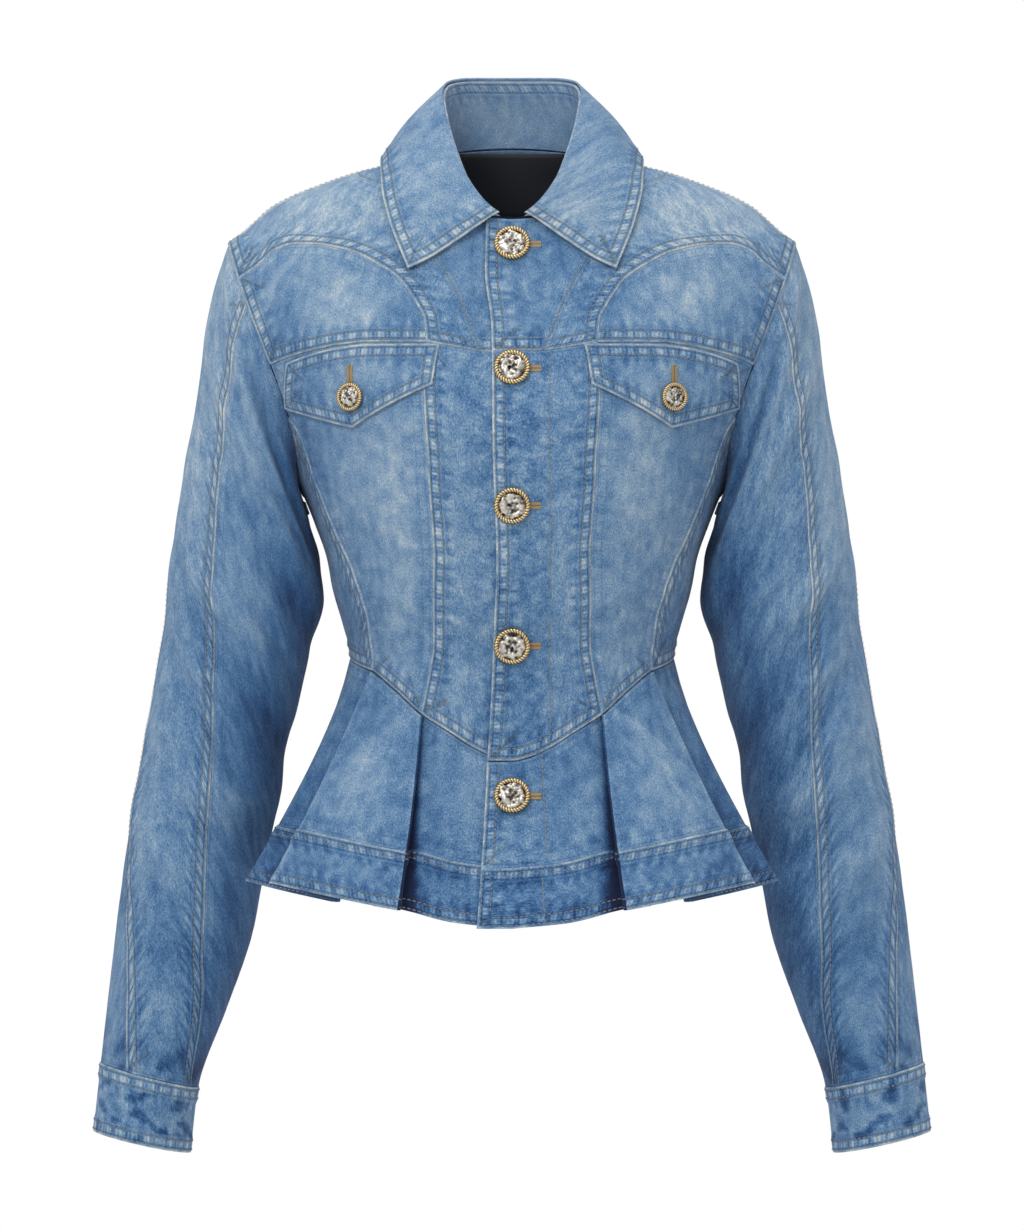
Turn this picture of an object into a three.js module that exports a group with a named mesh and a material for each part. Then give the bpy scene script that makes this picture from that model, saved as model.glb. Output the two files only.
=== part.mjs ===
// Denim jacket with a pleated peplum, filled out as if worn, millimetres, +Z up.
// The front faces -Y, the wearer's left is +X. The origin is the middle of the neck, level with the
// line where the shoulders meet the collar. Every panel is a thin wall of cloth on one shared form.
import * as THREE from 'three';

// Cloth and seams
const CLOTH = 1.6;
const SEAM_GAP = 0.3;
const COLLAR_CLOTH = 1.4;
const PEPLUM_CLOTH = 1.3;
const BAND_CLOTH = 2.2;
const CUFF_CLOTH = 2.6;
const LABEL_CLOTH = 0.8;

// The tables of seams were read in a straight front view from this distance and height
const VIEW_DISTANCE = 5110;
const VIEW_PLANE = 5000;
const VIEW_HEIGHT = -315;

// Armhole: a leaning oval through the shoulder tip and the underarm point
const SHOULDER_TIP = { x: 202.4, z: -49.3 };
const UNDERARM = { x: 153.3, z: -220 };
const ARMHOLE_HALF_DEPTH = 58;
const ARMHOLE_SCOOP = { front: 6, back: 2.5 };

// Button front
const LAP_UNDER = 18;
const LAP_DROP = 2.3;
const FRONT_BUTTON = { radius: 12.7, heights: [-55.4, -142.3, -238.3, -336.6, -442.1] };
const POCKET_BUTTON = { radius: 10, x: 111.5, z: -162.5 };
const WAIST_BACK = -344;
const SHOULDER_SEAM = THREE.MathUtils.degToRad(83);

// Smooth monotone curve through rows of [key, value]
function smooth(rows) {
  const keys = rows.map((row) => row[0]);
  const values = rows.map((row) => row[1]);
  const last = keys.length - 1;
  const steps = keys.slice(1).map((key, i) => key - keys[i]);
  const slopes = steps.map((step, i) => (values[i + 1] - values[i]) / step);
  const tangents = keys.map((_, i) => {
    if (i === 0) return slopes[0];
    if (i === last) return slopes[last - 1];
    if (slopes[i - 1] * slopes[i] <= 0) return 0;
    const a = 2 * steps[i] + steps[i - 1];
    const b = steps[i] + 2 * steps[i - 1];
    return (a + b) / (a / slopes[i - 1] + b / slopes[i]);
  });
  return (key) => {
    if (key <= keys[0]) return values[0] + tangents[0] * (key - keys[0]);
    if (key >= keys[last]) return values[last] + tangents[last] * (key - keys[last]);
    const i = keys.findIndex((_, k) => key <= keys[k + 1]);
    const h = steps[i];
    const t = (key - keys[i]) / h;
    const t2 = t * t;
    const t3 = t2 * t;
    return values[i] * (2 * t3 - 3 * t2 + 1) + tangents[i] * h * (t3 - 2 * t2 + t)
      + values[i + 1] * (3 * t2 - 2 * t3) + tangents[i + 1] * h * (t3 - t2);
  };
}

// Bodice form: rows are [z, size]
const halfWidthTable = smooth([
  [-420, 133], [-380, 119], [-343.6, 115.5], [-325, 120.1], [-297, 128.2], [-275, 132.3],
  [-250, 141], [-220, 153.3],
]);
const shoulderTable = smooth([
  [-49.3, 202.4], [-42, 192], [-34, 182.9], [-25, 172.7], [-16.6, 157.4], [-8.4, 136.9],
  [0, 112.4], [5, 93], [10.5, 74.5], [20, 67],
]);
const frontDepth = smooth([
  [-420, 108], [-380, 104.5], [-343, 104], [-300, 112], [-240, 122], [-180, 125], [-130, 112],
  [-80, 92], [-36, 74], [-10, 64], [20, 56],
]);
const backDepth = smooth([
  [-420, 92], [-380, 80], [-345, 78], [-300, 82], [-220, 98], [-150, 105], [-80, 98],
  [-30, 80], [0, 69], [22, 62],
]);
const squareness = smooth([[-420, 2.2], [-340, 2.2], [-200, 2.2], [-80, 2.1], [0, 2.0], [20, 2.0]]);

const armholeCentre = {
  x: (SHOULDER_TIP.x + UNDERARM.x) / 2,
  z: (SHOULDER_TIP.z + UNDERARM.z) / 2,
};
const armholeRadius = {
  x: (SHOULDER_TIP.x - UNDERARM.x) / 2,
  z: (SHOULDER_TIP.z - UNDERARM.z) / 2,
};

// A point of the armhole: turn 0 at the shoulder tip, a quarter at the front, a half at the underarm
function armholePoint(turn) {
  const scoop = Math.sin(turn) >= 0 ? ARMHOLE_SCOOP.front : ARMHOLE_SCOOP.back;
  const cut = scoop * Math.sin(turn) ** 2 * (1 - Math.cos(turn)) ** 1.5;
  return new THREE.Vector3(
    armholeCentre.x + armholeRadius.x * Math.cos(turn) - cut,
    -ARMHOLE_HALF_DEPTH * Math.sin(turn),
    armholeCentre.z + armholeRadius.z * Math.cos(turn),
  );
}

// Turn of the armhole at a height, on the front half
function armholeTurn(z) {
  const level = (z - armholeCentre.z) / armholeRadius.z;
  return Math.acos(THREE.MathUtils.clamp(level, -1, 1));
}

function halfWidth(z, back) {
  if (z >= SHOULDER_TIP.z) return shoulderTable(z);
  if (z <= UNDERARM.z) return halfWidthTable(z);
  const side = armholePoint(back ? -armholeTurn(z) : armholeTurn(z));
  const depth = back ? backDepth(z) : frontDepth(z);
  const n = squareness(z);
  return side.x / (1 - Math.abs(side.y / depth) ** n) ** (1 / n);
}

// Bodice surface: angle 0 at the centre front, 90 degrees at the side, 180 at the centre back
function bodiceSkin(angle, z) {
  const n = squareness(z);
  const back = Math.cos(angle) < 0;
  const x = halfWidth(z, back) * Math.sign(Math.sin(angle)) * Math.abs(Math.sin(angle)) ** (2 / n);
  const reach = Math.abs(Math.cos(angle)) ** (2 / n);
  return new THREE.Vector3(x, back ? backDepth(z) * reach : -frontDepth(z) * reach, z);
}

function bodiceNormal(angle, z) {
  const e = 0.01;
  const across = bodiceSkin(angle + e, z).sub(bodiceSkin(angle - e, z));
  const up = bodiceSkin(angle, z + 1).sub(bodiceSkin(angle, z - 1));
  return across.cross(up).normalize();
}

function bodice(angle, z, out = 0) {
  return bodiceSkin(angle, z).addScaledVector(bodiceNormal(angle, z), out);
}

function angleAt(x, z, back = false) {
  const share = Math.min(Math.abs(x) / halfWidth(z, back), 1);
  const turn = Math.sign(x) * Math.asin(share ** (squareness(z) / 2));
  return back ? Math.PI - turn : turn;
}

// Place on the bodice front that a straight front view shows at x, z
function seen(x, z) {
  let scale = 1;
  let spot = { angle: 0, z };
  for (let pass = 0; pass < 5; pass += 1) {
    const height = VIEW_HEIGHT + (z - VIEW_HEIGHT) * scale;
    spot = { angle: angleAt(x * scale, height), z: height };
    scale = (VIEW_DISTANCE + bodiceSkin(spot.angle, spot.z).y) / VIEW_PLANE;
  }
  return spot;
}

// Points spaced evenly along a smooth line through spots { angle, z }
function along(spots, count) {
  const lengths = [0];
  for (let i = 1; i < spots.length; i += 1) {
    const a = bodiceSkin(spots[i - 1].angle, spots[i - 1].z);
    lengths.push(lengths[i - 1] + a.distanceTo(bodiceSkin(spots[i].angle, spots[i].z)));
  }
  const angle = smooth(spots.map((spot, i) => [lengths[i], spot.angle]));
  const z = smooth(spots.map((spot, i) => [lengths[i], spot.z]));
  const total = lengths[lengths.length - 1];
  return Array.from({ length: count + 1 }, (_, i) => {
    const s = (total * i) / count;
    return { angle: angle(s), z: z(s) };
  });
}

function joinLines(...lines) {
  return lines.reduce((whole, line) => whole.concat(line.slice(1)), [lines[0][0]]);
}

function armholeSpot(turn) {
  const point = armholePoint(turn);
  const back = point.y > 0.01;
  return { angle: angleAt(point.x, point.z, back), z: point.z, bevel: armholeBevel(turn) };
}

// Stretch of the armhole between two turns, with the bevel that both cloths share there
function armholeLine(from, to, count) {
  const turn = (i) => THREE.MathUtils.lerp(from, to, i / count);
  return Array.from({ length: count + 1 }, (_, i) => armholeSpot(turn(i)));
}

function armholeBevel(turn) {
  const e = 0.02;
  const along2 = armholePoint(turn + e).sub(armholePoint(turn - e));
  const plane = new THREE.Vector3(armholeRadius.z, 0, -armholeRadius.x).normalize();
  const bevel = along2.cross(plane).normalize();
  const outward = armholePoint(turn).sub(new THREE.Vector3(armholeCentre.x, 0, armholeCentre.z));
  return bevel.dot(outward) < 0 ? bevel.negate() : bevel;
}

// Grid of spots inside four border lines, pulled in by half a seam gap
function patch(top, bottom, left, right) {
  const rows = left.length - 1;
  const columns = top.length - 1;
  const blend = (i, j, key) => {
    const v = i / rows;
    const u = j / columns;
    return (1 - v) * top[j][key] + v * bottom[j][key] + (1 - u) * left[i][key] + u * right[i][key]
      - (1 - v) * (1 - u) * top[0][key] - (1 - v) * u * top[columns][key]
      - v * (1 - u) * bottom[0][key] - v * u * bottom[columns][key];
  };
  const spots = [];
  const moves = [];
  for (let i = 0; i <= rows; i += 1) {
    const line = [];
    for (let j = 0; j <= columns; j += 1) {
      line.push({ angle: blend(i, j, 'angle'), z: blend(i, j, 'z') });
    }
    spots.push(line);
  }
  for (let i = 0; i <= rows; i += 1) {
    const before = Math.max(i - 1, 0);
    const after = Math.min(i + 1, rows);
    const column = (j) => [spots[before][j], spots[after][j]];
    moves.push(pulled(spots[i][0], spots[i][1], ...column(0)));
    moves.push(pulled(spots[i][columns], spots[i][columns - 1], ...column(columns)));
    spots[i][0].bevel = left[i].bevel;
    spots[i][columns].bevel = right[i].bevel;
  }
  for (let j = 0; j <= columns; j += 1) {
    const before = Math.max(j - 1, 0);
    const after = Math.min(j + 1, columns);
    const line = (i) => [spots[i][before], spots[i][after]];
    moves.push(pulled(spots[0][j], spots[1][j], ...line(0)));
    moves.push(pulled(spots[rows][j], spots[rows - 1][j], ...line(rows)));
    spots[0][j].bevel ??= top[j].bevel;
    spots[rows][j].bevel ??= bottom[j].bevel;
  }
  moves.forEach(([spot, angle, z]) => {
    spot.angle += angle;
    spot.z += z;
  });
  return spots;
}

// Move of a border spot by half a seam gap, square to the border and towards its inner neighbour
function pulled(edge, inner, before, after) {
  const at = (spot) => bodiceSkin(spot.angle, spot.z);
  const border = at(after).sub(at(before)).normalize();
  const inward = at(inner).sub(at(edge));
  inward.addScaledVector(border, -inward.dot(border)).setLength(SEAM_GAP / 2);
  const e = 0.01;
  const perAngle = bodiceSkin(edge.angle + e, edge.z).sub(at(edge)).divideScalar(e);
  const perZ = bodiceSkin(edge.angle, edge.z - 1).sub(at(edge)).negate();
  const [aa, az, zz] = [perAngle.dot(perAngle), perAngle.dot(perZ), perZ.dot(perZ)];
  const [a, z] = [inward.dot(perAngle), inward.dot(perZ)];
  const det = aa * zz - az * az;
  return [edge, (a * zz - z * az) / det, (z * aa - a * az) / det];
}

// Closed wall between an outer and an inner grid of points
function wall(outer, inner, closed = false) {
  const rows = outer.length;
  const columns = outer[0].length;
  const positions = [];
  [outer, inner].forEach((grid) => grid.flat().forEach((p) => positions.push(p.x, p.y, p.z)));
  const at = (side, i, j) => side * rows * columns + i * columns + (j % columns);
  const faces = [];
  const quad = (a, b, c, d) => faces.push(a, b, c, a, c, d);
  const spans = closed ? columns : columns - 1;
  for (let j = 0; j < spans; j += 1) {
    for (let i = 0; i < rows - 1; i += 1) {
      quad(at(0, i, j), at(0, i + 1, j), at(0, i + 1, j + 1), at(0, i, j + 1));
      quad(at(1, i, j), at(1, i, j + 1), at(1, i + 1, j + 1), at(1, i + 1, j));
    }
    quad(at(0, 0, j), at(0, 0, j + 1), at(1, 0, j + 1), at(1, 0, j));
    quad(at(0, rows - 1, j), at(1, rows - 1, j), at(1, rows - 1, j + 1), at(0, rows - 1, j + 1));
  }
  if (!closed) {
    for (let i = 0; i < rows - 1; i += 1) {
      quad(at(0, i, 0), at(1, i, 0), at(1, i + 1, 0), at(0, i + 1, 0));
      const j = columns - 1;
      quad(at(0, i, j), at(0, i + 1, j), at(1, i + 1, j), at(1, i, j));
    }
  }
  const geometry = new THREE.BufferGeometry();
  geometry.setAttribute('position', new THREE.Float32BufferAttribute(positions, 3));
  geometry.setIndex(volumeOf(positions, faces) < 0 ? flipped(faces) : faces);
  geometry.computeVertexNormals();
  return geometry;
}

function volumeOf(positions, faces) {
  const corner = (k) => new THREE.Vector3().fromArray(positions, faces[k] * 3);
  let volume = 0;
  for (let k = 0; k < faces.length; k += 3) {
    volume += corner(k).dot(corner(k + 1).cross(corner(k + 2)));
  }
  return volume;
}

function flipped(faces) {
  const turned = [];
  for (let k = 0; k < faces.length; k += 3) turned.push(faces[k], faces[k + 2], faces[k + 1]);
  return turned;
}

// Materials
const denim = new THREE.MeshStandardMaterial({ color: 0x6d93ba, roughness: 0.9 });
const brass = new THREE.MeshStandardMaterial({ color: 0xc9a45c, roughness: 0.35, metalness: 0.9 });
const darkCloth = new THREE.MeshStandardMaterial({ color: 0x16181f, roughness: 0.8 });

const jacket = new THREE.Group();

function addPiece(name, geometry, material = denim) {
  const mesh = new THREE.Mesh(geometry, material);
  mesh.name = name;
  jacket.add(mesh);
  return mesh;
}

// Points of a panel: the right side is the mirror of the left
function panelWall(spots, side, out, thickness) {
  const point = (spot, depth) => {
    const p = bodiceSkin(spot.angle, spot.z);
    const lift = typeof out === 'function' ? out(p.x, p.z) : out;
    p.addScaledVector(bodiceNormal(spot.angle, spot.z), lift);
    p.addScaledVector(spot.bevel ?? bodiceNormal(spot.angle, spot.z), -depth);
    p.x *= side;
    return p;
  };
  const outer = spots.map((line) => line.map((spot) => point(spot, 0)));
  const inner = spots.map((line) => line.map((spot) => point(spot, thickness)));
  return wall(outer, inner);
}

// Front edge of the upper front (left) and the hidden edge of the under front (right)
const upperEdge = smooth([
  [-535, -24.6], [-490, -24], [-450, -21], [-412, -17], [-320, -12.5], [-276, -11], [-201, -13.5],
  [-114, -14.5], [-73, -19], [-36, -18],
]);
const frontEdge = (side, z) => (side > 0 ? upperEdge(z) : -LAP_UNDER);

// The under front dips behind the upper one
function lapDrop(side) {
  return (x) => {
    if (side > 0) return 0;
    return -LAP_DROP * (1 - THREE.MathUtils.smoothstep(x, 22, 42));
  };
}

// Seams of the front half, as a front view shows them: [x, z]
const NECK_SIDE = { angle: Math.PI / 2, z: 10.5 };
const slantedSeam = [
  [103, -7], [88, -17], [78, -29], [65, -46], [53, -64.4], [35, -98], [28.7, -115], [22, -130],
];
const curvedSeam = [
  [61, -119], [62, -108], [68, -95], [79, -80], [99, -67], [118, -59], [138, -55.5], [152, -55.5],
  [166, -60], [177, -70], [185, -82],
];
const levelSeam = [[60, -124], [100, -124], [120, -126], [140, -130], [167, -140]];
const princessSeam = [
  [60, -124], [62, -158], [60.5, -185], [58.6, -217], [57, -241], [55, -276], [55, -318],
  [58, -356], [63.5, -384],
];
const sideFrontSeam = [
  [155, -176], [150, -186], [145.5, -197], [140.5, -212], [132, -236], [121, -262], [110, -287],
  [101, -315],
  [97.5, -340], [97, -354],
];
const waistLine = smooth([
  [-24, -417], [0, -417], [10, -415], [26, -408], [45, -396], [63.5, -384], [80, -368.5],
  [97, -354], [113, -343],
]);
const toSpots = (points) => points.map(([x, z]) => seen(x, z));

// Height of the neckline round the front half, by angle
const neckFront = smooth([[0, -36], [0.12, -34.5], [0.26, -28], [0.44, -12], [0.8, 3], [1.2, 9], [1.571, 10.5]]);
function neckHeight(angle) {
  const front = neckFront(Math.acos(Math.cos(angle)));
  const back = NECK_SIDE.z + 11 * Math.abs(Math.cos(angle)) ** 1.5;
  return Math.cos(angle) >= 0 ? front : back;
}

function neckLine(from, to, count) {
  return Array.from({ length: count + 1 }, (_, i) => {
    const angle = THREE.MathUtils.lerp(from, to, i / count);
    return { angle, z: neckHeight(angle) };
  });
}

const curvedSeamTurn = armholeTurn(-77.5);
const levelSeamTurn = armholeTurn(-138);
const sideSeamTurn = armholeTurn(-175);
const shoulderTurn = THREE.MathUtils.degToRad(1);

const SHOULDER_SPLIT_Z = 2.2;
const neckSideSpot = { angle: SHOULDER_SEAM, z: neckHeight(SHOULDER_SEAM) };
const tipSpot = armholeSpot(shoulderTurn);
const shoulderSplit = { angle: SHOULDER_SEAM, z: SHOULDER_SPLIT_Z };
const innerShoulder = along([neckSideSpot, shoulderSplit], 4);
const innerShoulderShort = along([neckSideSpot, shoulderSplit], 3);
const shoulderWay = [
  shoulderSplit,
  { angle: (SHOULDER_SEAM + tipSpot.angle) / 2, z: -34 },
  tipSpot,
];
const outerShoulder = along(shoulderWay, 5);
const outerShoulderShort = along(shoulderWay, 5);

// Where each seam lands, so that neighbours share their corner points
const slantedLine = along([shoulderSplit, ...toSpots(slantedSeam.slice(1))], 8);
const yokeCorner = slantedLine[slantedLine.length - 1];
const chestCorner = seen(60, -124);
const curveSplit = seen(68, -95);
const armCurved = armholeSpot(curvedSeamTurn);
const armLevel = armholeSpot(levelSeamTurn);
const armSide = armholeSpot(sideSeamTurn);
const curvedLower = along([chestCorner, seen(61.5, -109), curveSplit], 3);
const curvedUpper = along([curveSplit, ...toSpots(curvedSeam.slice(3, -1)), armCurved], 10);
const curvedLine = joinLines(curvedLower, curvedUpper);
const levelLine = along([chestCorner, ...toSpots(levelSeam.slice(1, -1)), armLevel], 10);
const princessLine = along(toSpots(princessSeam), 11);
const sideFrontLine = along([armSide, ...toSpots(sideFrontSeam.slice(1))], 9);
const waistFront = (x) => seen(x, waistLine(x));
const sideWaist = { angle: Math.PI / 2, z: WAIST_BACK };

function straight(a, b, count) {
  return Array.from({ length: count + 1 }, (_, i) => ({
    angle: THREE.MathUtils.lerp(a.angle, b.angle, i / count),
    z: THREE.MathUtils.lerp(a.z, b.z, i / count),
  }));
}

function frontEdgeLine(side, from, to, count) {
  return Array.from({ length: count + 1 }, (_, i) => {
    const z = THREE.MathUtils.lerp(from, to, i / count);
    return seen(frontEdge(side, z), z);
  });
}

function makeFront(side, tag) {
  const drop = lapDrop(side);
  const edgeTop = seen(frontEdge(side, -36), -36);
  edgeTop.z = neckHeight(edgeTop.angle);
  const edgeYoke = seen(frontEdge(side, -130), -130);
  const upperEdgeLine = frontEdgeLine(side, -36, -130, 4);
  upperEdgeLine[0] = edgeTop;
  const neckAngle = smooth([
    [0, edgeTop.angle], [0.2, 0.12], [0.4, 0.24], [0.6, 0.42], [0.8, 0.7], [0.9, 1.05],
    [1, SHOULDER_SEAM],
  ]);
  const yokeNeck = patch(
    Array.from({ length: 11 }, (_, i) => neckAngle(i / 10)).map((angle) => ({
      angle,
      z: neckHeight(angle),
    })),
    joinLines(straight(edgeYoke, yokeCorner, 2), [...slantedLine].reverse()),
    upperEdgeLine,
    innerShoulder,
  );
  addPiece(`yoke_neck_${tag}`, panelWall(yokeNeck, side, drop, CLOTH));

  const yokeShoulder = patch(
    joinLines([...slantedLine].reverse(), outerShoulder),
    curvedLine,
    straight(yokeCorner, chestCorner, 4),
    armholeLine(shoulderTurn, curvedSeamTurn, 4),
  );
  addPiece(`yoke_shoulder_${tag}`, panelWall(yokeShoulder, side, drop, CLOTH));

  const yokeChest = patch(
    curvedUpper,
    levelLine,
    [...curvedLower].reverse(),
    armholeLine(curvedSeamTurn, levelSeamTurn, 3),
  );
  addPiece(`yoke_chest_${tag}`, panelWall(yokeChest, side, 0, CLOTH));

  const centreTop = joinLines(straight(edgeYoke, yokeCorner, 2), straight(yokeCorner, chestCorner, 4));
  const centreHem = Array.from({ length: 7 }, (_, j) => {
    const x = THREE.MathUtils.lerp(frontEdge(side, -417), 63.5, j / 6);
    return waistFront(x);
  });
  const centre = patch(centreTop, centreHem, frontEdgeLine(side, -130, -417, 11), princessLine);
  addPiece(`front_centre_${tag}`, panelWall(centre, side, drop, CLOTH));

  const pocketHem = Array.from({ length: 7 }, (_, j) => waistFront(THREE.MathUtils.lerp(63.5, 97, j / 6)));
  const pocketTop = along([chestCorner, ...toSpots(levelSeam.slice(1, -1)), armLevel], 6);
  const pocketSide = joinLines(armholeLine(levelSeamTurn, sideSeamTurn, 2), sideFrontLine);
  const pocketPanel = patch(pocketTop, pocketHem, princessLine, pocketSide);
  addPiece(`front_pocket_${tag}`, panelWall(pocketPanel, side, 0, CLOTH));

  const sideHem = straight(waistFront(97), sideWaist, 4);
  const sideSeam = straight(armholeSpot(Math.PI), sideWaist, 9);
  const sidePanel = patch(
    armholeLine(sideSeamTurn, Math.PI, 4),
    sideHem,
    sideFrontLine,
    sideSeam,
  );
  addPiece(`front_side_${tag}`, panelWall(sidePanel, side, 0, CLOTH));
}

makeFront(-1, 'r');
makeFront(1, 'l');

// Back: a yoke, a centre panel and two side panels
const backYokeTurn = -armholeTurn(-120);
const backSideTurn = -armholeTurn(-175);
const mirrored = (line) => [...line].reverse().map((spot) => ({
  ...spot,
  angle: 2 * Math.PI - spot.angle,
  bevel: spot.bevel && new THREE.Vector3(-spot.bevel.x, spot.bevel.y, spot.bevel.z),
}));
const backSeamLine = along([
  armholeSpot(backSideTurn),
  { angle: Math.PI - 0.98, z: -240 },
  { angle: Math.PI - 0.86, z: -300 },
  { angle: Math.PI - 0.85, z: WAIST_BACK },
], 8);

function makeBack() {
  const neck = neckLine(SHOULDER_SEAM, 2 * Math.PI - SHOULDER_SEAM, 14);
  const yokeHem = straight(
    { angle: armholeSpot(backYokeTurn).angle, z: -120 },
    { angle: 2 * Math.PI - armholeSpot(backYokeTurn).angle, z: -120 },
    14,
  );
  yokeHem[0] = armholeSpot(backYokeTurn);
  yokeHem[14] = mirrored([yokeHem[0]])[0];
  const yokeArmhole = armholeLine(shoulderTurn, backYokeTurn, 5);
  const yokeSide = joinLines(innerShoulderShort, outerShoulderShort, yokeArmhole);
  const yokeOther = mirrored(yokeSide).reverse();
  addPiece('back_yoke', panelWall(patch(neck, yokeHem, yokeSide, yokeOther), 1, 0, CLOTH));

  const centreSide = joinLines(armholeLine(backYokeTurn, backSideTurn, 3), backSeamLine);
  const centreHem = straight(backSeamLine[8], mirrored([backSeamLine[8]])[0], 14);
  const centreOther = mirrored(centreSide).reverse();
  addPiece('back_centre', panelWall(patch(yokeHem, centreHem, centreSide, centreOther), 1, 0, CLOTH));

  [[1, 'l'], [-1, 'r']].forEach(([side, tag]) => {
    const seam = straight(armholeSpot(Math.PI), sideWaist, 8);
    const top = armholeLine(-Math.PI, backSideTurn, 4);
    const hem = straight(sideWaist, backSeamLine[8], 4);
    addPiece(`back_side_${tag}`, panelWall(patch(top, hem, seam, backSeamLine), side, 0, CLOTH));
  });
}

makeBack();

// Sleeve rings. Rows: [ring, outer x, outer z, inner x, inner z, half depth, centre y]
const sleeveRows = [
  [0, 202.4, -49.3, 153.3, -220, 58, 0],
  [1, 208.3, -66, 150.8, -232, 58.5, 0.5],
  [2, 215.5, -92, 143.2, -252, 58.5, 1],
  [3, 220.6, -126, 137, -276, 58, 2],
  [4, 226.5, -166, 134.6, -303, 57, 3],
  [5, 234.5, -212, 142.6, -335, 56, 5],
  [6, 242.8, -262, 151.2, -370, 54.5, 7],
  [7, 248.6, -316, 159.2, -409, 53, 9],
  [8, 257, -374, 168.5, -453, 51, 11],
  [9, 267.5, -434, 177.8, -500, 49, 13],
  [10, 278.5, -496, 187.4, -548, 46.5, 14],
  [11, 286.4, -560, 204.6, -597, 43, 15],
  [12, 295, -635.5, 225, -653.5, 40, 16],
  [13, 300.3, -684.5, 230.6, -700.3, 39.5, 16],
];
const ringValue = (column) => smooth(sleeveRows.map((row) => [row[0], row[column]]));
const sleeve = {
  outerX: ringValue(1),
  outerZ: ringValue(2),
  innerX: ringValue(3),
  innerZ: ringValue(4),
  depth: ringValue(5),
  y: ringValue(6),
};
const CUFF_RING = 12;
const LAST_RING = 13;

// Largest sleeve folds. Rows: [ring, turn in degrees, slant in degrees, length, width, height]
const sleeveFolds = [
  [1.6, 62, 60, 60, 14, 4],
  [2.2, 105, 40, 70, 15, -4],
  [3.4, 75, 30, 60, 16, 3.5],
  [4.6, 118, 20, 55, 14, -4],
  [6.0, 70, -20, 55, 14, 4],
  [6.9, 120, 15, 60, 13, -4.5],
  [7.6, 60, 25, 50, 13, -3.5],
  [8.4, 110, -25, 55, 13, 4],
  [9.6, 60, 20, 50, 13, 3.5],
  [10.6, 100, -15, 45, 12, -3.5],
  [3.0, 250, 35, 65, 16, -4],
  [5.4, 285, -25, 60, 15, 4],
  [7.2, 240, 20, 60, 14, -4],
  [9.2, 280, -20, 55, 14, 3.5],
];

function ringPoint(ring, turn) {
  const scoop = Math.sin(turn) >= 0 ? ARMHOLE_SCOOP.front : ARMHOLE_SCOOP.back;
  const fade = Math.max(1 - ring / 3, 0);
  const cut = fade * scoop * Math.sin(turn) ** 2 * (1 - Math.cos(turn)) ** 1.5;
  const mid = {
    x: (sleeve.outerX(ring) + sleeve.innerX(ring)) / 2,
    z: (sleeve.outerZ(ring) + sleeve.innerZ(ring)) / 2,
  };
  return new THREE.Vector3(
    mid.x + (sleeve.outerX(ring) - mid.x) * Math.cos(turn) - cut,
    sleeve.y(ring) - sleeve.depth(ring) * Math.sin(turn),
    mid.z + (sleeve.outerZ(ring) - mid.z) * Math.cos(turn),
  );
}

function sleeveNormal(ring, turn) {
  const e = 0.02;
  const around = ringPoint(ring, turn + e).sub(ringPoint(ring, turn - e));
  const down = ringPoint(ring + e, turn).sub(ringPoint(Math.max(ring - e, 0), turn));
  const normal = around.cross(down).normalize();
  const mid = ringPoint(ring, turn).add(ringPoint(ring, turn + Math.PI)).multiplyScalar(0.5);
  return normal.dot(ringPoint(ring, turn).sub(mid)) < 0 ? normal.negate() : normal;
}

const RING_STEP = 46;
const ARM_RADIUS = 50;
function foldHeight(ring, turn) {
  const calm = THREE.MathUtils.smoothstep(ring, 0, 1) * (1 - THREE.MathUtils.smoothstep(ring, 11, 12));
  return calm * sleeveFolds.reduce((sum, [row, degrees, slant, length, width, height]) => {
    const centre = THREE.MathUtils.degToRad(degrees);
    const around = Math.atan2(Math.sin(turn - centre), Math.cos(turn - centre)) * ARM_RADIUS;
    const down = (ring - row) * RING_STEP;
    const lean = THREE.MathUtils.degToRad(slant);
    const onLine = around * Math.cos(lean) + down * Math.sin(lean);
    const offLine = -around * Math.sin(lean) + down * Math.cos(lean);
    return sum + height * Math.exp(-((onLine / length) ** 2) - (offLine / width) ** 2);
  }, 0);
}

function sleevePoint(ring, turn, depth) {
  const point = ringPoint(ring, turn);
  if (ring < 0.02) {
    const side = new THREE.Vector3(armholeRadius.z, 0, -armholeRadius.x).normalize();
    return point.addScaledVector(side, SEAM_GAP * 2.8).addScaledVector(armholeBevel(turn), -depth);
  }
  return point.addScaledVector(sleeveNormal(ring, turn), foldHeight(ring, turn) - depth);
}

// Turns in degrees of the front seam and of the back seam down the sleeve
const frontSeamTurn = smooth([
  [0, 62], [2, 60], [4, 58], [6, 72], [8, 90], [10, 108], [11, 128], [12, 150],
]);
const backSeamTurn = smooth([[0, -62], [3, -45], [6, -22], [8, -4], [10, 22], [11, 45], [12, 66]]);

function tube(fromRing, toRing, rings, fromTurn, toTurn, steps, thickness, side) {
  const whole = toTurn === undefined;
  const grid = (depth) => Array.from({ length: rings + 1 }, (_, i) => {
    const ring = THREE.MathUtils.lerp(fromRing, toRing, i / rings);
    return Array.from({ length: whole ? steps : steps + 1 }, (__, j) => {
      const start = whole ? 0 : THREE.MathUtils.degToRad(fromTurn(ring)) + SEAM_GAP / 2 / ARM_RADIUS;
      const end = whole ? 2 * Math.PI : THREE.MathUtils.degToRad(toTurn(ring)) - SEAM_GAP / 2 / ARM_RADIUS;
      const p = sleevePoint(ring, THREE.MathUtils.lerp(start, end, j / steps), depth);
      p.x *= side;
      return p;
    });
  });
  return wall(grid(0), grid(thickness), whole);
}

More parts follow.
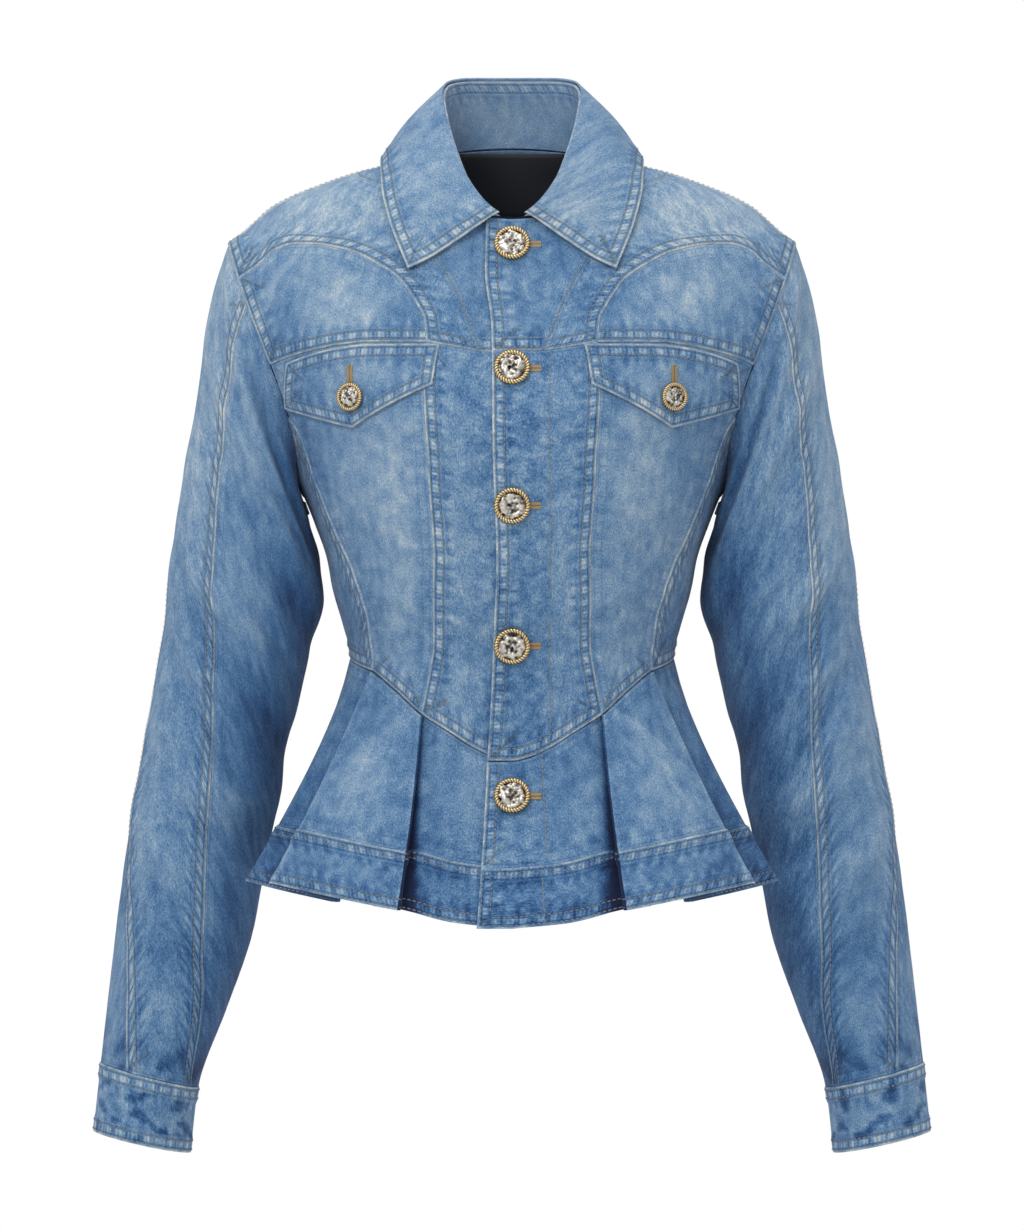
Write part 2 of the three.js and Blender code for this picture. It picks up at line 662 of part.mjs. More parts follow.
[[1, 'l'], [-1, 'r']].forEach(([side, tag]) => {
  const end = CUFF_RING - 0.006;
  addPiece(`sleeve_top_${tag}`, tube(0, end, 16, backSeamTurn, frontSeamTurn, 7, CLOTH, side));
  const round = (ring) => backSeamTurn(ring) + 360;
  addPiece(`sleeve_under_${tag}`, tube(0, end, 16, frontSeamTurn, round, 12, CLOTH, side));
  addPiece(`cuff_${tag}`, tube(CUFF_RING, LAST_RING, 2, null, undefined, 24, CUFF_CLOTH, side));
});

// Collar: a stand on the neckline and a leaf folded over it. Rows from the front end to the back:
// [share, roll x, roll y, roll z]
const rollRows = [
  [0, 9, -79, -31], [0.08, 14.5, -76.5, -27], [0.3, 31.3, -62, -5.1], [0.42, 40.5, -45, 17.3],
  [0.5, 46.8, -25, 38.9], [0.6, 50.1, 0, 58], [0.75, 47.3, 28, 68.3], [0.88, 31, 50, 73], [1, 0, 58, 73.6],
];
const leafRows = [
  [0, 73.5, -87, -71], [0.2, 87, -70, -36], [0.36, 92.5, -54, -12], [0.6, 94, 4, 11.5],
  [0.75, 80, 45, 12.5], [0.88, 46, 69, 13], [1, 0, 75, 13],
];
const leafFront = [
  [9, -79, -31], [19, -78, -38.3], [38.6, -82.5, -52.5], [58, -85, -64.5], [73.5, -87, -71],
];
const pathOf = (rows) => {
  const [x, y, z] = [1, 2, 3].map((column) => smooth(rows.map((row) => [row[0], row[column]])));
  return (share) => new THREE.Vector3(x(share), y(share), z(share));
};
const rollPath = pathOf(rollRows);
const leafPath = pathOf(leafRows);
const leafFrontPath = pathOf(leafFront.map((row, i) => [i / 4, ...row]));
const COLLAR_STEPS = 11;
const LEAF_CLEARANCE = 2.6;
const STAND_DROP = 1.4;
const STAND_INSET = 1;
const STAND_SWELL = 2.2;

function bothHalves(point, steps) {
  return Array.from({ length: 2 * steps + 1 }, (_, j) => {
    const share = 1 - Math.abs(j - steps) / steps;
    const p = point(share);
    if (j < steps) p.x *= -1;
    return p;
  });
}

function outwardAt(share) {
  const e = 0.02;
  const run = rollPath(Math.min(share + e, 1)).sub(rollPath(Math.max(share - e, 0)));
  if (share > 0.999) return new THREE.Vector3(0, 1, 0);
  return new THREE.Vector3(-run.y, run.x, 0).normalize().negate();
}

function standPoint(share, v, depth) {
  const angle = THREE.MathUtils.lerp(0.17, Math.PI, share ** 0.8);
  const foot = bodiceSkin(angle, neckHeight(angle));
  foot.z += SEAM_GAP + 0.8;
  const top = rollPath(share);
  top.z -= COLLAR_CLOTH + STAND_DROP;
  const outward = outwardAt(share);
  const swell = STAND_SWELL * Math.sin(Math.PI * v) * share;
  return foot.lerp(top, v).addScaledVector(outward, swell - v * STAND_INSET - depth);
}

function leafPoint(share, v, depth) {
  const front = Math.exp(-share / 0.07);
  const roll = rollPath(share);
  const edge = leafPath(share);
  const plain = roll.clone().lerp(edge, v);
  const shaped = leafFrontPath(v).sub(leafFrontPath(0).lerp(leafFrontPath(1), v)).multiplyScalar(front);
  const out = outwardAt(share);
  const bulge = Math.sin(Math.PI * Math.min(v, 1)) * (1 - v * 0.4);
  plain.add(shaped).addScaledVector(out, bulge * 6 * Math.min(share * 3, 1));
  plain.z += bulge * 2;
  const skin = bodiceSkin(angleAt(plain.x, Math.min(plain.z, 8)), Math.min(plain.z, 8));
  const floor = skin.y - LEAF_CLEARANCE - COLLAR_CLOTH;
  if (plain.y < -20 && plain.z < 8 && plain.y > floor) plain.y = floor;
  if (depth > 0) {
    const e = 0.03;
    const across = leafPoint(Math.min(share + e, 1), v, 0).sub(leafPoint(Math.max(share - e, 0), v, 0));
    const down = leafPoint(share, Math.min(v + e, 1), 0).sub(leafPoint(share, Math.max(v - e, 0), 0));
    const normal = across.cross(down).normalize();
    if (normal.dot(out) + normal.z * 0.5 < 0) normal.negate();
    if (v === 0) normal.set(0, 0, 1);
    plain.addScaledVector(normal, -depth);
  }
  return plain;
}

function collarWall(point, levels, thickness, steps) {
  const grid = (depth) => levels.map((v) => bothHalves((share) => point(share, v, depth), steps));
  return wall(grid(0), grid(thickness));
}

addPiece('collar_stand', collarWall(standPoint, [0, 0.35, 0.7, 1], COLLAR_CLOTH, COLLAR_STEPS));
addPiece('collar_leaf', collarWall(leafPoint, [0, 0.08, 0.25, 0.5, 0.75, 1], COLLAR_CLOTH, COLLAR_STEPS));

// Neck label, flat on the inside of the back yoke
const LABEL = { halfWidth: 39, height: 44 };
const labelSpots = Array.from({ length: 4 }, (_, i) => Array.from({ length: 9 }, (__, j) => {
  const z = neckHeight(Math.PI) - 2 - (LABEL.height * i) / 3;
  return { angle: angleAt(THREE.MathUtils.lerp(LABEL.halfWidth, -LABEL.halfWidth, j / 8), z, true), z };
}));
const labelDepth = -CLOTH - 1.5;
addPiece('neck_label', panelWall(labelSpots, 1, labelDepth, LABEL_CLOTH), darkCloth);

// Pocket flaps, laid on the panels: corners as a front view shows them
const flap = {
  top: [[50.4, -126], [100, -126], [120, -128], [140, -132.5], [156, -138.5]],
  inner: [[50.4, -126], [55.3, -153.9]],
  point: [55.3, -153.9],
  tip: [110.7, -183.6],
  corner: [157, -170],
};
const FLAP_LIFT = CLOTH + 0.9;

[[1, 'l'], [-1, 'r']].forEach(([side, tag]) => {
  const top = along(toSpots(flap.top), 10);
  const hem = joinLines(
    straight(seen(...flap.point), seen(...flap.tip), 5),
    straight(seen(...flap.tip), seen(...flap.corner), 5),
  );
  const inner = straight(top[0], hem[0], 4);
  const outer = straight(top[10], hem[10], 4);
  addPiece(`pocket_flap_${tag}`, panelWall(patch(top, hem, inner, outer), side, FLAP_LIFT, CLOTH));
});

// Buttons: a raised rim round a domed centre. Profile rows are shares of the radius and heights
function button(name, radius, place, normal) {
  const profile = [[0, 0], [0.9, 0], [1, 0.9], [1, 2.4], [0.9, 3.2], [0.76, 2.6], [0.5, 3.6], [0, 4.2]];
  const points = profile.map(([share, height]) => new THREE.Vector2(share * radius, height));
  const geometry = new THREE.LatheGeometry(points, 16);
  const mesh = addPiece(name, geometry, brass);
  mesh.quaternion.setFromUnitVectors(new THREE.Vector3(0, 1, 0), normal);
  mesh.position.copy(place);
}

// A button's back clears the cloth above and below it, where the bodice curves in
function bodiceButton(name, radius, spot, side, lift) {
  const normal = bodiceNormal(spot.angle, spot.z);
  const middle = bodiceSkin(spot.angle, spot.z);
  const rims = [-radius, radius].map((rise) => bodiceSkin(spot.angle, spot.z + rise).sub(middle));
  const hollow = Math.max(0, ...rims.map((rim) => rim.dot(normal)));
  const place = middle.addScaledVector(normal, hollow + lift);
  normal.x *= side;
  place.x *= side;
  button(name, radius, place, normal);
}

const BUTTON_LIFT = 0.4;
const bodiceButtons = FRONT_BUTTON.heights.slice(0, -1);
bodiceButtons.forEach((z, i) => {
  bodiceButton(`button_${i + 1}`, FRONT_BUTTON.radius, seen(0, z), 1, BUTTON_LIFT);
});
[[1, 'l'], [-1, 'r']].forEach(([side, tag]) => {
  const spot = seen(POCKET_BUTTON.x, POCKET_BUTTON.z);
  bodiceButton(`button_pocket_${tag}`, POCKET_BUTTON.radius, spot, side, FLAP_LIFT + BUTTON_LIFT);
});

// Peplum: a flared skirt whose pleats fold behind themselves. Its plan is a line of legs joined by
// round folds, at the waist seam and at the hem. Rows: [hem x, hem y, hem z, waist x, waist lift]
const frontLegs = {
  centre: [
    [0, -148, -533, 0, 0], [40, -147, -529, 30, 0], [70, -142, -521.5, 50, -0.6],
    [84, -137, -518.5, 62, -2.6], [95, -132, -517, 68, -2.6],
  ],
  inward: [[93, -135, -518, 68, -0.4], [80, -147, -520, 63.5, -0.4]],
  face: [
    [80, -152, -520, 63.5, 1.8], [100, -152, -516, 71, 1.8], [125, -146, -511, 80, 1.8],
    [150, -133, -506, 89, 1.8], [168, -119, -502.5, 97, 1.8],
  ],
  outward: [[166, -114, -503, 97, -0.4], [124, -107, -516, 91, -0.4]],
  side: [
    [126, -102, -516, 91, -2.6], [152, -86, -511, 98, -2.2], [176, -66, -506, 105, -1.2],
    [188, -55, -503, 109, -0.6], [184, -42, -503, 112, -0.2], [174, -22, -504, 114.5, 0],
  ],
};
const SIDE_HEM = { x: 166, y: 0, z: -505 };
const backLegs = {
  side: [
    [166, 2, -505, 115.4, 0], [160, 30, -506, 111, -0.5], [150, 58, -506, 101, -1.5],
    [128, 84, -506, 86, -2.6],
  ],
  outward: [[126, 90, -506, 86, -0.4], [160, 92, -506, 93, -0.4]],
  face: [[160, 97, -506, 93, 1.8], [130, 116, -506, 82, 1.8], [84, 132, -506, 62, 1.8]],
  inward: [[84, 127, -506, 62, -0.4], [102, 116, -506, 69, -0.4]],
  centre: [
    [100, 111, -506, 69, -2.6], [80, 118, -506, 60, -2.2], [44, 129, -506, 34, 0],
    [0, 132, -506, 0, 0],
  ],
};
const FOLD_STEPS = 3;
const SKIRT_SAG = 3;
const WAIST_GAP = { front: 1.1, back: 0.7 };
const HEM_BAND = 44;

// One leg as smooth lines through its rows
function legPoints(rows, count, back) {
  const value = (column) => smooth(rows.map((row, i) => [i, row[column]]));
  const [hemX, hemY, hemZ, waistX, lift] = [0, 1, 2, 3, 4].map(value);
  return Array.from({ length: count + 1 }, (_, i) => {
    const s = ((rows.length - 1) * i) / count;
    const x = waistX(s);
    const spot = back ? { angle: angleAt(x, WAIST_BACK, true), z: WAIST_BACK } : waistFrontSpot(x);
    const normal = bodiceNormal(spot.angle, spot.z).setZ(0).normalize();
    const waist = bodiceSkin(spot.angle, spot.z).addScaledVector(normal, lift(s));
    return { waist, hem: new THREE.Vector3(hemX(s), hemY(s), hemZ(s)) };
  });
}

// Place on the waist seam: level with the front hem of the bodice, then straight to the side seam
function waistFrontSpot(x) {
  const turn = waistFront(97);
  if (x <= 97) return waistFront(x);
  const angle = angleAt(x, sideWaist.z);
  const share = THREE.MathUtils.clamp((angle - turn.angle) / (sideWaist.angle - turn.angle), 0, 1);
  return { angle: Math.max(angle, turn.angle), z: THREE.MathUtils.lerp(turn.z, sideWaist.z, share) };
}

// Half-round fold from the end of one leg to the start of the next
function foldPoints(before, after) {
  const last = before[before.length - 1];
  const first = after[0];
  const turnOf = (key) => {
    const way = last[key].clone().sub(before[before.length - 2][key]).setZ(0).normalize();
    const across = first[key].clone().sub(last[key]);
    return { centre: last[key].clone().lerp(first[key], 0.5), way, across };
  };
  const [waist, hem] = [turnOf('waist'), turnOf('hem')];
  return Array.from({ length: FOLD_STEPS - 1 }, (_, i) => {
    const turn = (Math.PI * (i + 1)) / FOLD_STEPS;
    const spot = ({ centre, way, across }) => centre.clone()
      .addScaledVector(across, -Math.cos(turn) / 2)
      .addScaledVector(way, (Math.sin(turn) * Math.hypot(across.x, across.y)) / 2);
    return { waist: spot(waist), hem: spot(hem) };
  });
}

function skirtLine(legs, counts, back) {
  const names = Object.keys(legs);
  const parts = names.map((name, i) => legPoints(legs[name], counts[i], back));
  const line = [...parts[0]];
  for (let i = 1; i < parts.length; i += 1) {
    line.push(...foldPoints(parts[i - 1], parts[i]), ...parts[i]);
  }
  return line;
}

// Wall between two shares of the skirt's length, with the cloth's middle on the line
function skirtWall(line, levels, thickness, side, drop) {
  const plan = (level) => line.map(({ waist, hem }) => {
    const v = level(waist.distanceTo(hem));
    const p = waist.clone().lerp(hem, v);
    const sag = Math.sin(Math.PI * v) * SKIRT_SAG;
    const out = new THREE.Vector3(p.x, p.y, 0).normalize();
    p.addScaledVector(out, -sag);
    p.y -= drop ? drop(p.x) : 0;
    return p;
  });
  const grid = (shift) => levels.map((level) => {
    const points = plan(level);
    return points.map((p, j) => {
      const before = points[Math.max(j - 1, 0)];
      const after = points[Math.min(j + 1, points.length - 1)];
      const run = after.clone().sub(before).setZ(0).normalize();
      const q = new THREE.Vector3(p.x + run.y * shift, p.y - run.x * shift, p.z);
      q.x *= side;
      return q;
    });
  });
  const middle = -PEPLUM_CLOTH / 2;
  return wall(grid(middle + thickness / 2), grid(middle - thickness / 2));
}

const skirtLevels = (waistGap) => [0, 0.33, 0.67, 1].map((share) => (length) => {
  const top = waistGap / length;
  const end = 1 - (HEM_BAND + SEAM_GAP) / length;
  return top + (end - top) * share;
});
const bandLevels = [HEM_BAND, 0].map((height) => (length) => 1 - height / length);

function withEdge(line, side) {
  const x = frontEdge(side, -480);
  const [first, second] = line;
  const slope = (key) => second[key].clone().sub(first[key]).divideScalar(second[key].x - first[key].x);
  const shifted = (key, to) => first[key].clone().addScaledVector(slope(key), to - first[key].x);
  const edge = {
    waist: shifted('waist', side > 0 ? upperEdge(-417) : x),
    hem: shifted('hem', side > 0 ? upperEdge(-535) : x),
  };
  edge.waist.z = first.waist.z;
  edge.hem.z = first.hem.z;
  edge.hem.y = first.hem.y;
  return [edge, ...line];
}

[[1, 'l'], [-1, 'r']].forEach(([side, tag]) => {
  const line = withEdge(skirtLine(frontLegs, [10, 1, 6, 1, 7], false), side);
  const rise = side > 0 ? null : (x) => 1.4 * lapDrop(side)(x - 8);
  addPiece(`peplum_front_${tag}`, skirtWall(line, skirtLevels(WAIST_GAP.front), PEPLUM_CLOTH, side, rise));
  addPiece(`hem_band_front_${tag}`, skirtWall(line, bandLevels, BAND_CLOTH, side, rise));
});

// The lowest button sits on the skirt, square to its slope
const skirtButtonZ = FRONT_BUTTON.heights[FRONT_BUTTON.heights.length - 1];
const skirtTop = bodiceSkin(0, waistLine(0));
const skirtHem = new THREE.Vector3(...frontLegs.centre[0].slice(0, 3));
const skirtShare = (skirtButtonZ - skirtTop.z) / (skirtHem.z - skirtTop.z);
const skirtSlope = skirtHem.clone().sub(skirtTop).normalize();
const skirtNormal = new THREE.Vector3(0, skirtSlope.z, -skirtSlope.y);
const skirtSpot = skirtTop.lerp(skirtHem, skirtShare).addScaledVector(skirtNormal, 2.3 * BUTTON_LIFT);
skirtSpot.y += SKIRT_SAG * Math.sin(Math.PI * skirtShare);
button(`button_${bodiceButtons.length + 1}`, FRONT_BUTTON.radius, skirtSpot, skirtNormal);

const halfBack = skirtLine(backLegs, [4, 1, 4, 1, 5], true);
const otherHalf = [...halfBack].reverse().slice(1).map(({ waist, hem }) => ({
  waist: new THREE.Vector3(-waist.x, waist.y, waist.z),
  hem: new THREE.Vector3(-hem.x, hem.y, hem.z),
}));
const backLine = [...halfBack, ...otherHalf];
addPiece('peplum_back', skirtWall(backLine, skirtLevels(WAIST_GAP.back), PEPLUM_CLOTH, 1));
addPiece('hem_band_back', skirtWall(backLine, bandLevels, BAND_CLOTH, 1));

export default jacket;
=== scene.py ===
"""Denim jacket with a pleated peplum, filled out as if worn: the finish of every cloth and button."""
import math

import bpy
import numpy as np
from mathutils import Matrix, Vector


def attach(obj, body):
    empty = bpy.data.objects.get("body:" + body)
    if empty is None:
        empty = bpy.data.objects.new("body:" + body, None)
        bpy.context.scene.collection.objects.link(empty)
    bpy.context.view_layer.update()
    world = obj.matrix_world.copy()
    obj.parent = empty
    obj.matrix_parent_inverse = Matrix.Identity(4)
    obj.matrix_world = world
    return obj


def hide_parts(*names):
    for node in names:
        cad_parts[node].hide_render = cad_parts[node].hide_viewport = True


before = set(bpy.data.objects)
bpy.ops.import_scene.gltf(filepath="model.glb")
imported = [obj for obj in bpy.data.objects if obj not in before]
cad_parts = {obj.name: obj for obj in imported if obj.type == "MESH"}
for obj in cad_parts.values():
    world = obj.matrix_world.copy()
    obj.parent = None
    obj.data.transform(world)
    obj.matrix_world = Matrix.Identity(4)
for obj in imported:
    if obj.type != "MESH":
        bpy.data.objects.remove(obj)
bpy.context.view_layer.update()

# Sizes below are millimetres in the frame of the CAD part; MM turns them into metres
MM = 0.001
PI = math.pi
CLOTH = 1.6
PEPLUM_CLOTH = 1.3
VIEW_DISTANCE = 5110
VIEW_PLANE = 5000
VIEW_HEIGHT = -315
IMAGE_HEIGHT_MM = 861
SENSOR = 36

SHOULDER_TIP = (202.4, -49.3)
UNDERARM = (153.3, -220)
ARMHOLE_HALF_DEPTH = 58
ARMHOLE_SCOOP = (6, 2.5)
LAP_UNDER = 18
LAP_DROP = 2.3
BUTTON_RADIUS = 12.7
BUTTON_HEIGHTS = (-55.4, -142.3, -238.3, -336.6, -442.1)
POCKET_BUTTON = (10, 111.5, -162.5)
WAIST_BACK = -344
SHOULDER_SEAM = math.radians(83)
HEM_BAND = 44


class Smooth:
    """Smooth monotone curve through rows of (key, value), for arrays."""

    def __init__(self, rows):
        rows = np.array(rows, float)
        self.k, self.v = rows[:, 0], rows[:, 1]
        h = np.diff(self.k)
        m = np.diff(self.v) / h
        t = np.zeros(len(self.k))
        t[0], t[-1] = m[0], m[-1]
        for i in range(1, len(h)):
            if m[i - 1] * m[i] > 0:
                a, b = 2 * h[i] + h[i - 1], h[i] + 2 * h[i - 1]
                t[i] = (a + b) / (a / m[i - 1] + b / m[i])
        self.h, self.t = h, t

    def __call__(self, key):
        key = np.asarray(key, float)
        i = np.clip(np.searchsorted(self.k, key, side="right") - 1, 0, len(self.h) - 1)
        h = self.h[i]
        s = np.clip((key - self.k[i]) / h, 0, 1)
        s2, s3 = s * s, s * s * s
        inside = (self.v[i] * (2 * s3 - 3 * s2 + 1) + self.t[i] * h * (s3 - 2 * s2 + s)
                  + self.v[i + 1] * (3 * s2 - 2 * s3) + self.t[i + 1] * h * (s3 - s2))
        below = self.t[0] * np.minimum(key - self.k[0], 0)
        above = self.t[-1] * np.maximum(key - self.k[-1], 0)
        return inside + below + above


def step(low, high, x):
    t = np.clip((np.asarray(x, float) - low) / (high - low), 0, 1)
    return t * t * (3 - 2 * t)


def unit(v):
    return v / np.maximum(np.linalg.norm(v, axis=-1, keepdims=True), 1e-9)


# The bodice form, the same as the CAD part's
half_width_table = Smooth([
    (-420, 133), (-380, 119), (-343.6, 115.5), (-325, 120.1), (-297, 128.2), (-275, 132.3),
    (-250, 141), (-220, 153.3)])
shoulder_table = Smooth([
    (-49.3, 202.4), (-42, 192), (-34, 182.9), (-25, 172.7), (-16.6, 157.4), (-8.4, 136.9),
    (0, 112.4), (5, 93), (10.5, 74.5), (20, 67)])
front_depth = Smooth([
    (-420, 108), (-380, 104.5), (-343, 104), (-300, 112), (-240, 122), (-180, 125), (-130, 112),
    (-80, 92), (-36, 74), (-10, 64), (20, 56)])
back_depth = Smooth([
    (-420, 92), (-380, 80), (-345, 78), (-300, 82), (-220, 98), (-150, 105), (-80, 98),
    (-30, 80), (0, 69), (22, 62)])
squareness = Smooth([(-420, 2.2), (-340, 2.2), (-200, 2.2), (-80, 2.1), (0, 2.0), (20, 2.0)])
ARM_MID = ((SHOULDER_TIP[0] + UNDERARM[0]) / 2, (SHOULDER_TIP[1] + UNDERARM[1]) / 2)
ARM_REACH = ((SHOULDER_TIP[0] - UNDERARM[0]) / 2, (SHOULDER_TIP[1] - UNDERARM[1]) / 2)


def armhole_cut(turn):
    scoop = np.where(np.sin(turn) >= 0, *ARMHOLE_SCOOP)
    return scoop * np.sin(turn) ** 2 * (1 - np.cos(turn)) ** 1.5


def armhole_point(turn):
    turn = np.asarray(turn, float)
    x = ARM_MID[0] + ARM_REACH[0] * np.cos(turn) - armhole_cut(turn)
    return np.stack([x, -ARMHOLE_HALF_DEPTH * np.sin(turn), ARM_MID[1] + ARM_REACH[1] * np.cos(turn)], -1)


def armhole_turn(z):
    return np.arccos(np.clip((np.asarray(z, float) - ARM_MID[1]) / ARM_REACH[1], -1, 1))


def half_width(z, back):
    z = np.asarray(z, float)
    turn = armhole_turn(z)
    side = armhole_point(np.where(back, -turn, turn))
    depth = np.where(back, back_depth(z), front_depth(z))
    n = squareness(z)
    inner = np.clip(1 - np.abs(side[..., 1] / depth) ** n, 1e-3, 1)
    arm = side[..., 0] / inner ** (1 / n)
    return np.where(z >= SHOULDER_TIP[1], shoulder_table(z), np.where(z <= UNDERARM[1], half_width_table(z), arm))


def skin(angle, z):
    angle, z = np.broadcast_arrays(np.asarray(angle, float), np.asarray(z, float))
    n = squareness(z)
    back = np.cos(angle) < 0
    x = half_width(z, back) * np.sign(np.sin(angle)) * np.abs(np.sin(angle)) ** (2 / n)
    reach = np.abs(np.cos(angle)) ** (2 / n)
    return np.stack([x, np.where(back, back_depth(z) * reach, -front_depth(z) * reach), z], -1)


def skin_normal(angle, z):
    e = 0.01
    across = skin(angle + e, z) - skin(angle - e, z)
    up = skin(angle, z + 1) - skin(angle, z - 1)
    return unit(np.cross(across, up))


def angle_at(x, z, back=False):
    share = np.minimum(np.abs(x) / half_width(z, np.broadcast_to(back, np.shape(z))), 1)
    turn = np.sign(x) * np.arcsin(share ** (squareness(z) / 2))
    return PI - turn if back else turn


def seen(x, z):
    """Angle and height on the bodice front of what a straight front view shows at x, z."""
    x, z = np.asarray(x, float), np.asarray(z, float)
    scale = np.ones(np.broadcast(x, z).shape)
    for _ in range(5):
        height = VIEW_HEIGHT + (z - VIEW_HEIGHT) * scale
        angle = angle_at(x * scale, height)
        scale = (VIEW_DISTANCE + skin(angle, height)[..., 1]) / VIEW_PLANE
    return np.stack([angle, height], -1)


def spots_of(points):
    points = np.array(points, float)
    return seen(points[:, 0], points[:, 1])


def along(spots, count=80):
    """Spots spaced evenly along a smooth line through a few."""
    spots = np.array(spots, float)
    gaps = np.linalg.norm(np.diff(skin(spots[:, 0], spots[:, 1]), axis=0), axis=1)
    lengths = np.concatenate([[0], np.cumsum(gaps)])
    s = np.linspace(0, lengths[-1], count + 1)
    curves = [Smooth(np.stack([lengths, spots[:, k]], 1))(s) for k in (0, 1)]
    return np.stack(curves, 1)


def joined(*lines):
    return np.concatenate([lines[0]] + [line[1:] for line in lines[1:]])


def straight(a, b, count=40):
    share = np.linspace(0, 1, count + 1)[:, None]
    return np.asarray(a, float) * (1 - share) + np.asarray(b, float) * share


def armhole_line(start, end, count=60):
    p = armhole_point(np.linspace(start, end, count + 1))
    front = angle_at(p[:, 0], p[:, 2])
    back = angle_at(p[:, 0], p[:, 2], True)
    return np.stack([np.where(p[:, 1] > 0.01, back, front), p[:, 2]], 1)


def resampled(line, shares):
    """The line at shares of its length on the bodice."""
    p = skin(line[:, 0], line[:, 1])
    gaps = np.linalg.norm(np.diff(p, axis=0), axis=1)
    s = np.concatenate([[0], np.cumsum(gaps)])
    s = s / s[-1]
    return np.stack([np.interp(shares, s, line[:, k]) for k in (0, 1)], 1)


FINE = (0, 0.7, 2.2, 4, 6.5, 9, 10.5, 12, 14.5)
STEP = 3.2


def spread(length):
    """Shares of a length, close together near both ends where the seams are."""
    ends = [d for d in FINE if d < length * 0.45]
    middle = length - 2 * ends[-1]
    count = max(int(round(middle / STEP)), 2)
    inner = ends[-1] + np.arange(1, count) * middle / count
    return np.concatenate([ends, inner, length - np.array(ends[::-1])]) / length


def line_length(line):
    return np.linalg.norm(np.diff(skin(line[:, 0], line[:, 1]), axis=0), axis=1).sum()


def patch(top, bottom, left, right):
    """Grid of spots inside four border lines."""
    width = max(line_length(top), line_length(bottom))
    height = max(line_length(left), line_length(right))
    us, vs = spread(width), spread(height)
    top, bottom = resampled(top, us), resampled(bottom, us)
    left, right = resampled(left, vs), resampled(right, vs)
    u, v = us[None, :, None], vs[:, None, None]
    return ((1 - v) * top[None] + v * bottom[None] + (1 - u) * left[:, None] + u * right[:, None]
            - (1 - v) * (1 - u) * top[0] - (1 - v) * u * top[-1]
            - v * (1 - u) * bottom[0] - v * u * bottom[-1])


# Cloth pieces: a grid of points with its distances to its four borders
SIDES = ("left", "right", "top", "bottom")
FAR = 60.0


def borders(points):
    """Distance of every grid point to each border, and how far along that border it is."""
    du = np.linalg.norm(np.diff(points, axis=1), axis=2)
    dv = np.linalg.norm(np.diff(points, axis=0), axis=2)
    u = np.concatenate([np.zeros((len(points), 1)), np.cumsum(du, axis=1)], 1)
    v = np.concatenate([np.zeros((1, points.shape[1])), np.cumsum(dv, axis=0)], 0)
    near = {"left": u, "right": u[:, -1:] - u, "top": v, "bottom": v[-1:] - v}
    way = {"left": v, "right": v, "top": u, "bottom": u}
    return near, way


def nearest_seam(points, kinds):
    """Rows (distance, way along, weight): weight 1 where this piece lies on top or ends."""
    near, way = borders(points)
    best = np.full(points.shape[:2], FAR)
    run = np.zeros(points.shape[:2])
    weight = np.zeros(points.shape[:2])
    for side, kind in kinds.items():
        closer = near[side] < best
        best = np.where(closer, near[side], best)
        run = np.where(closer, way[side], run)
        weight = np.where(closer, 1.0 if kind in ("top", "edge") else 0.3, weight)
    return np.stack([best, run, weight], -1), near, way


SEAM_RAISE = 0.9
EDGE_RAISE = 0.5
BAND_WIDTH = 9.6


def raised(near, kinds):
    lift = 0
    for side, kind in kinds.items():
        if kind == "under":
            continue
        height = SEAM_RAISE if kind == "top" else EDGE_RAISE
        rounded = 1 - 0.5 * (1 - step(0, 1.2, near[side]))
        lift = np.maximum(lift, height * rounded * (1 - step(BAND_WIDTH, BAND_WIDTH + 3, near[side])))
    return lift


def cross_normals(points, closed=False):
    if closed:
        ring = np.concatenate([points[:, -1:], points, points[:, :1]], 1)
        du = (ring[:, 2:] - ring[:, :-2])
    else:
        du = np.gradient(points, axis=1)
    return unit(np.cross(du, np.gradient(points, axis=0)))


def mesh_object(name, verts, faces, attributes=None, smooth=True):
    mesh = bpy.data.meshes.new(name)
    mesh.from_pydata((np.asarray(verts) * MM).tolist(), [], faces)
    mesh.polygons.foreach_set("use_smooth", [smooth] * len(mesh.polygons))
    for key, (kind, values) in (attributes or {}).items():
        layer = mesh.attributes.new(key, kind, "POINT")
        layer.data.foreach_set("vector" if kind == "FLOAT_VECTOR" else "value", np.ravel(values))
    mesh.update()
    item = bpy.data.objects.new(name, mesh)
    bpy.context.scene.collection.objects.link(item)
    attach(item, "root")
    return item


def grid_quads(rows, columns, base, turn, closed):
    i, j = np.meshgrid(np.arange(rows - 1), np.arange(columns if closed else columns - 1), indexing="ij")
    k = (j + 1) % columns
    quads = np.stack([i * columns + j, (i + 1) * columns + j, (i + 1) * columns + k, i * columns + k], -1)
    quads = quads.reshape(-1, 4) + base
    return quads[:, ::-1] if turn else quads


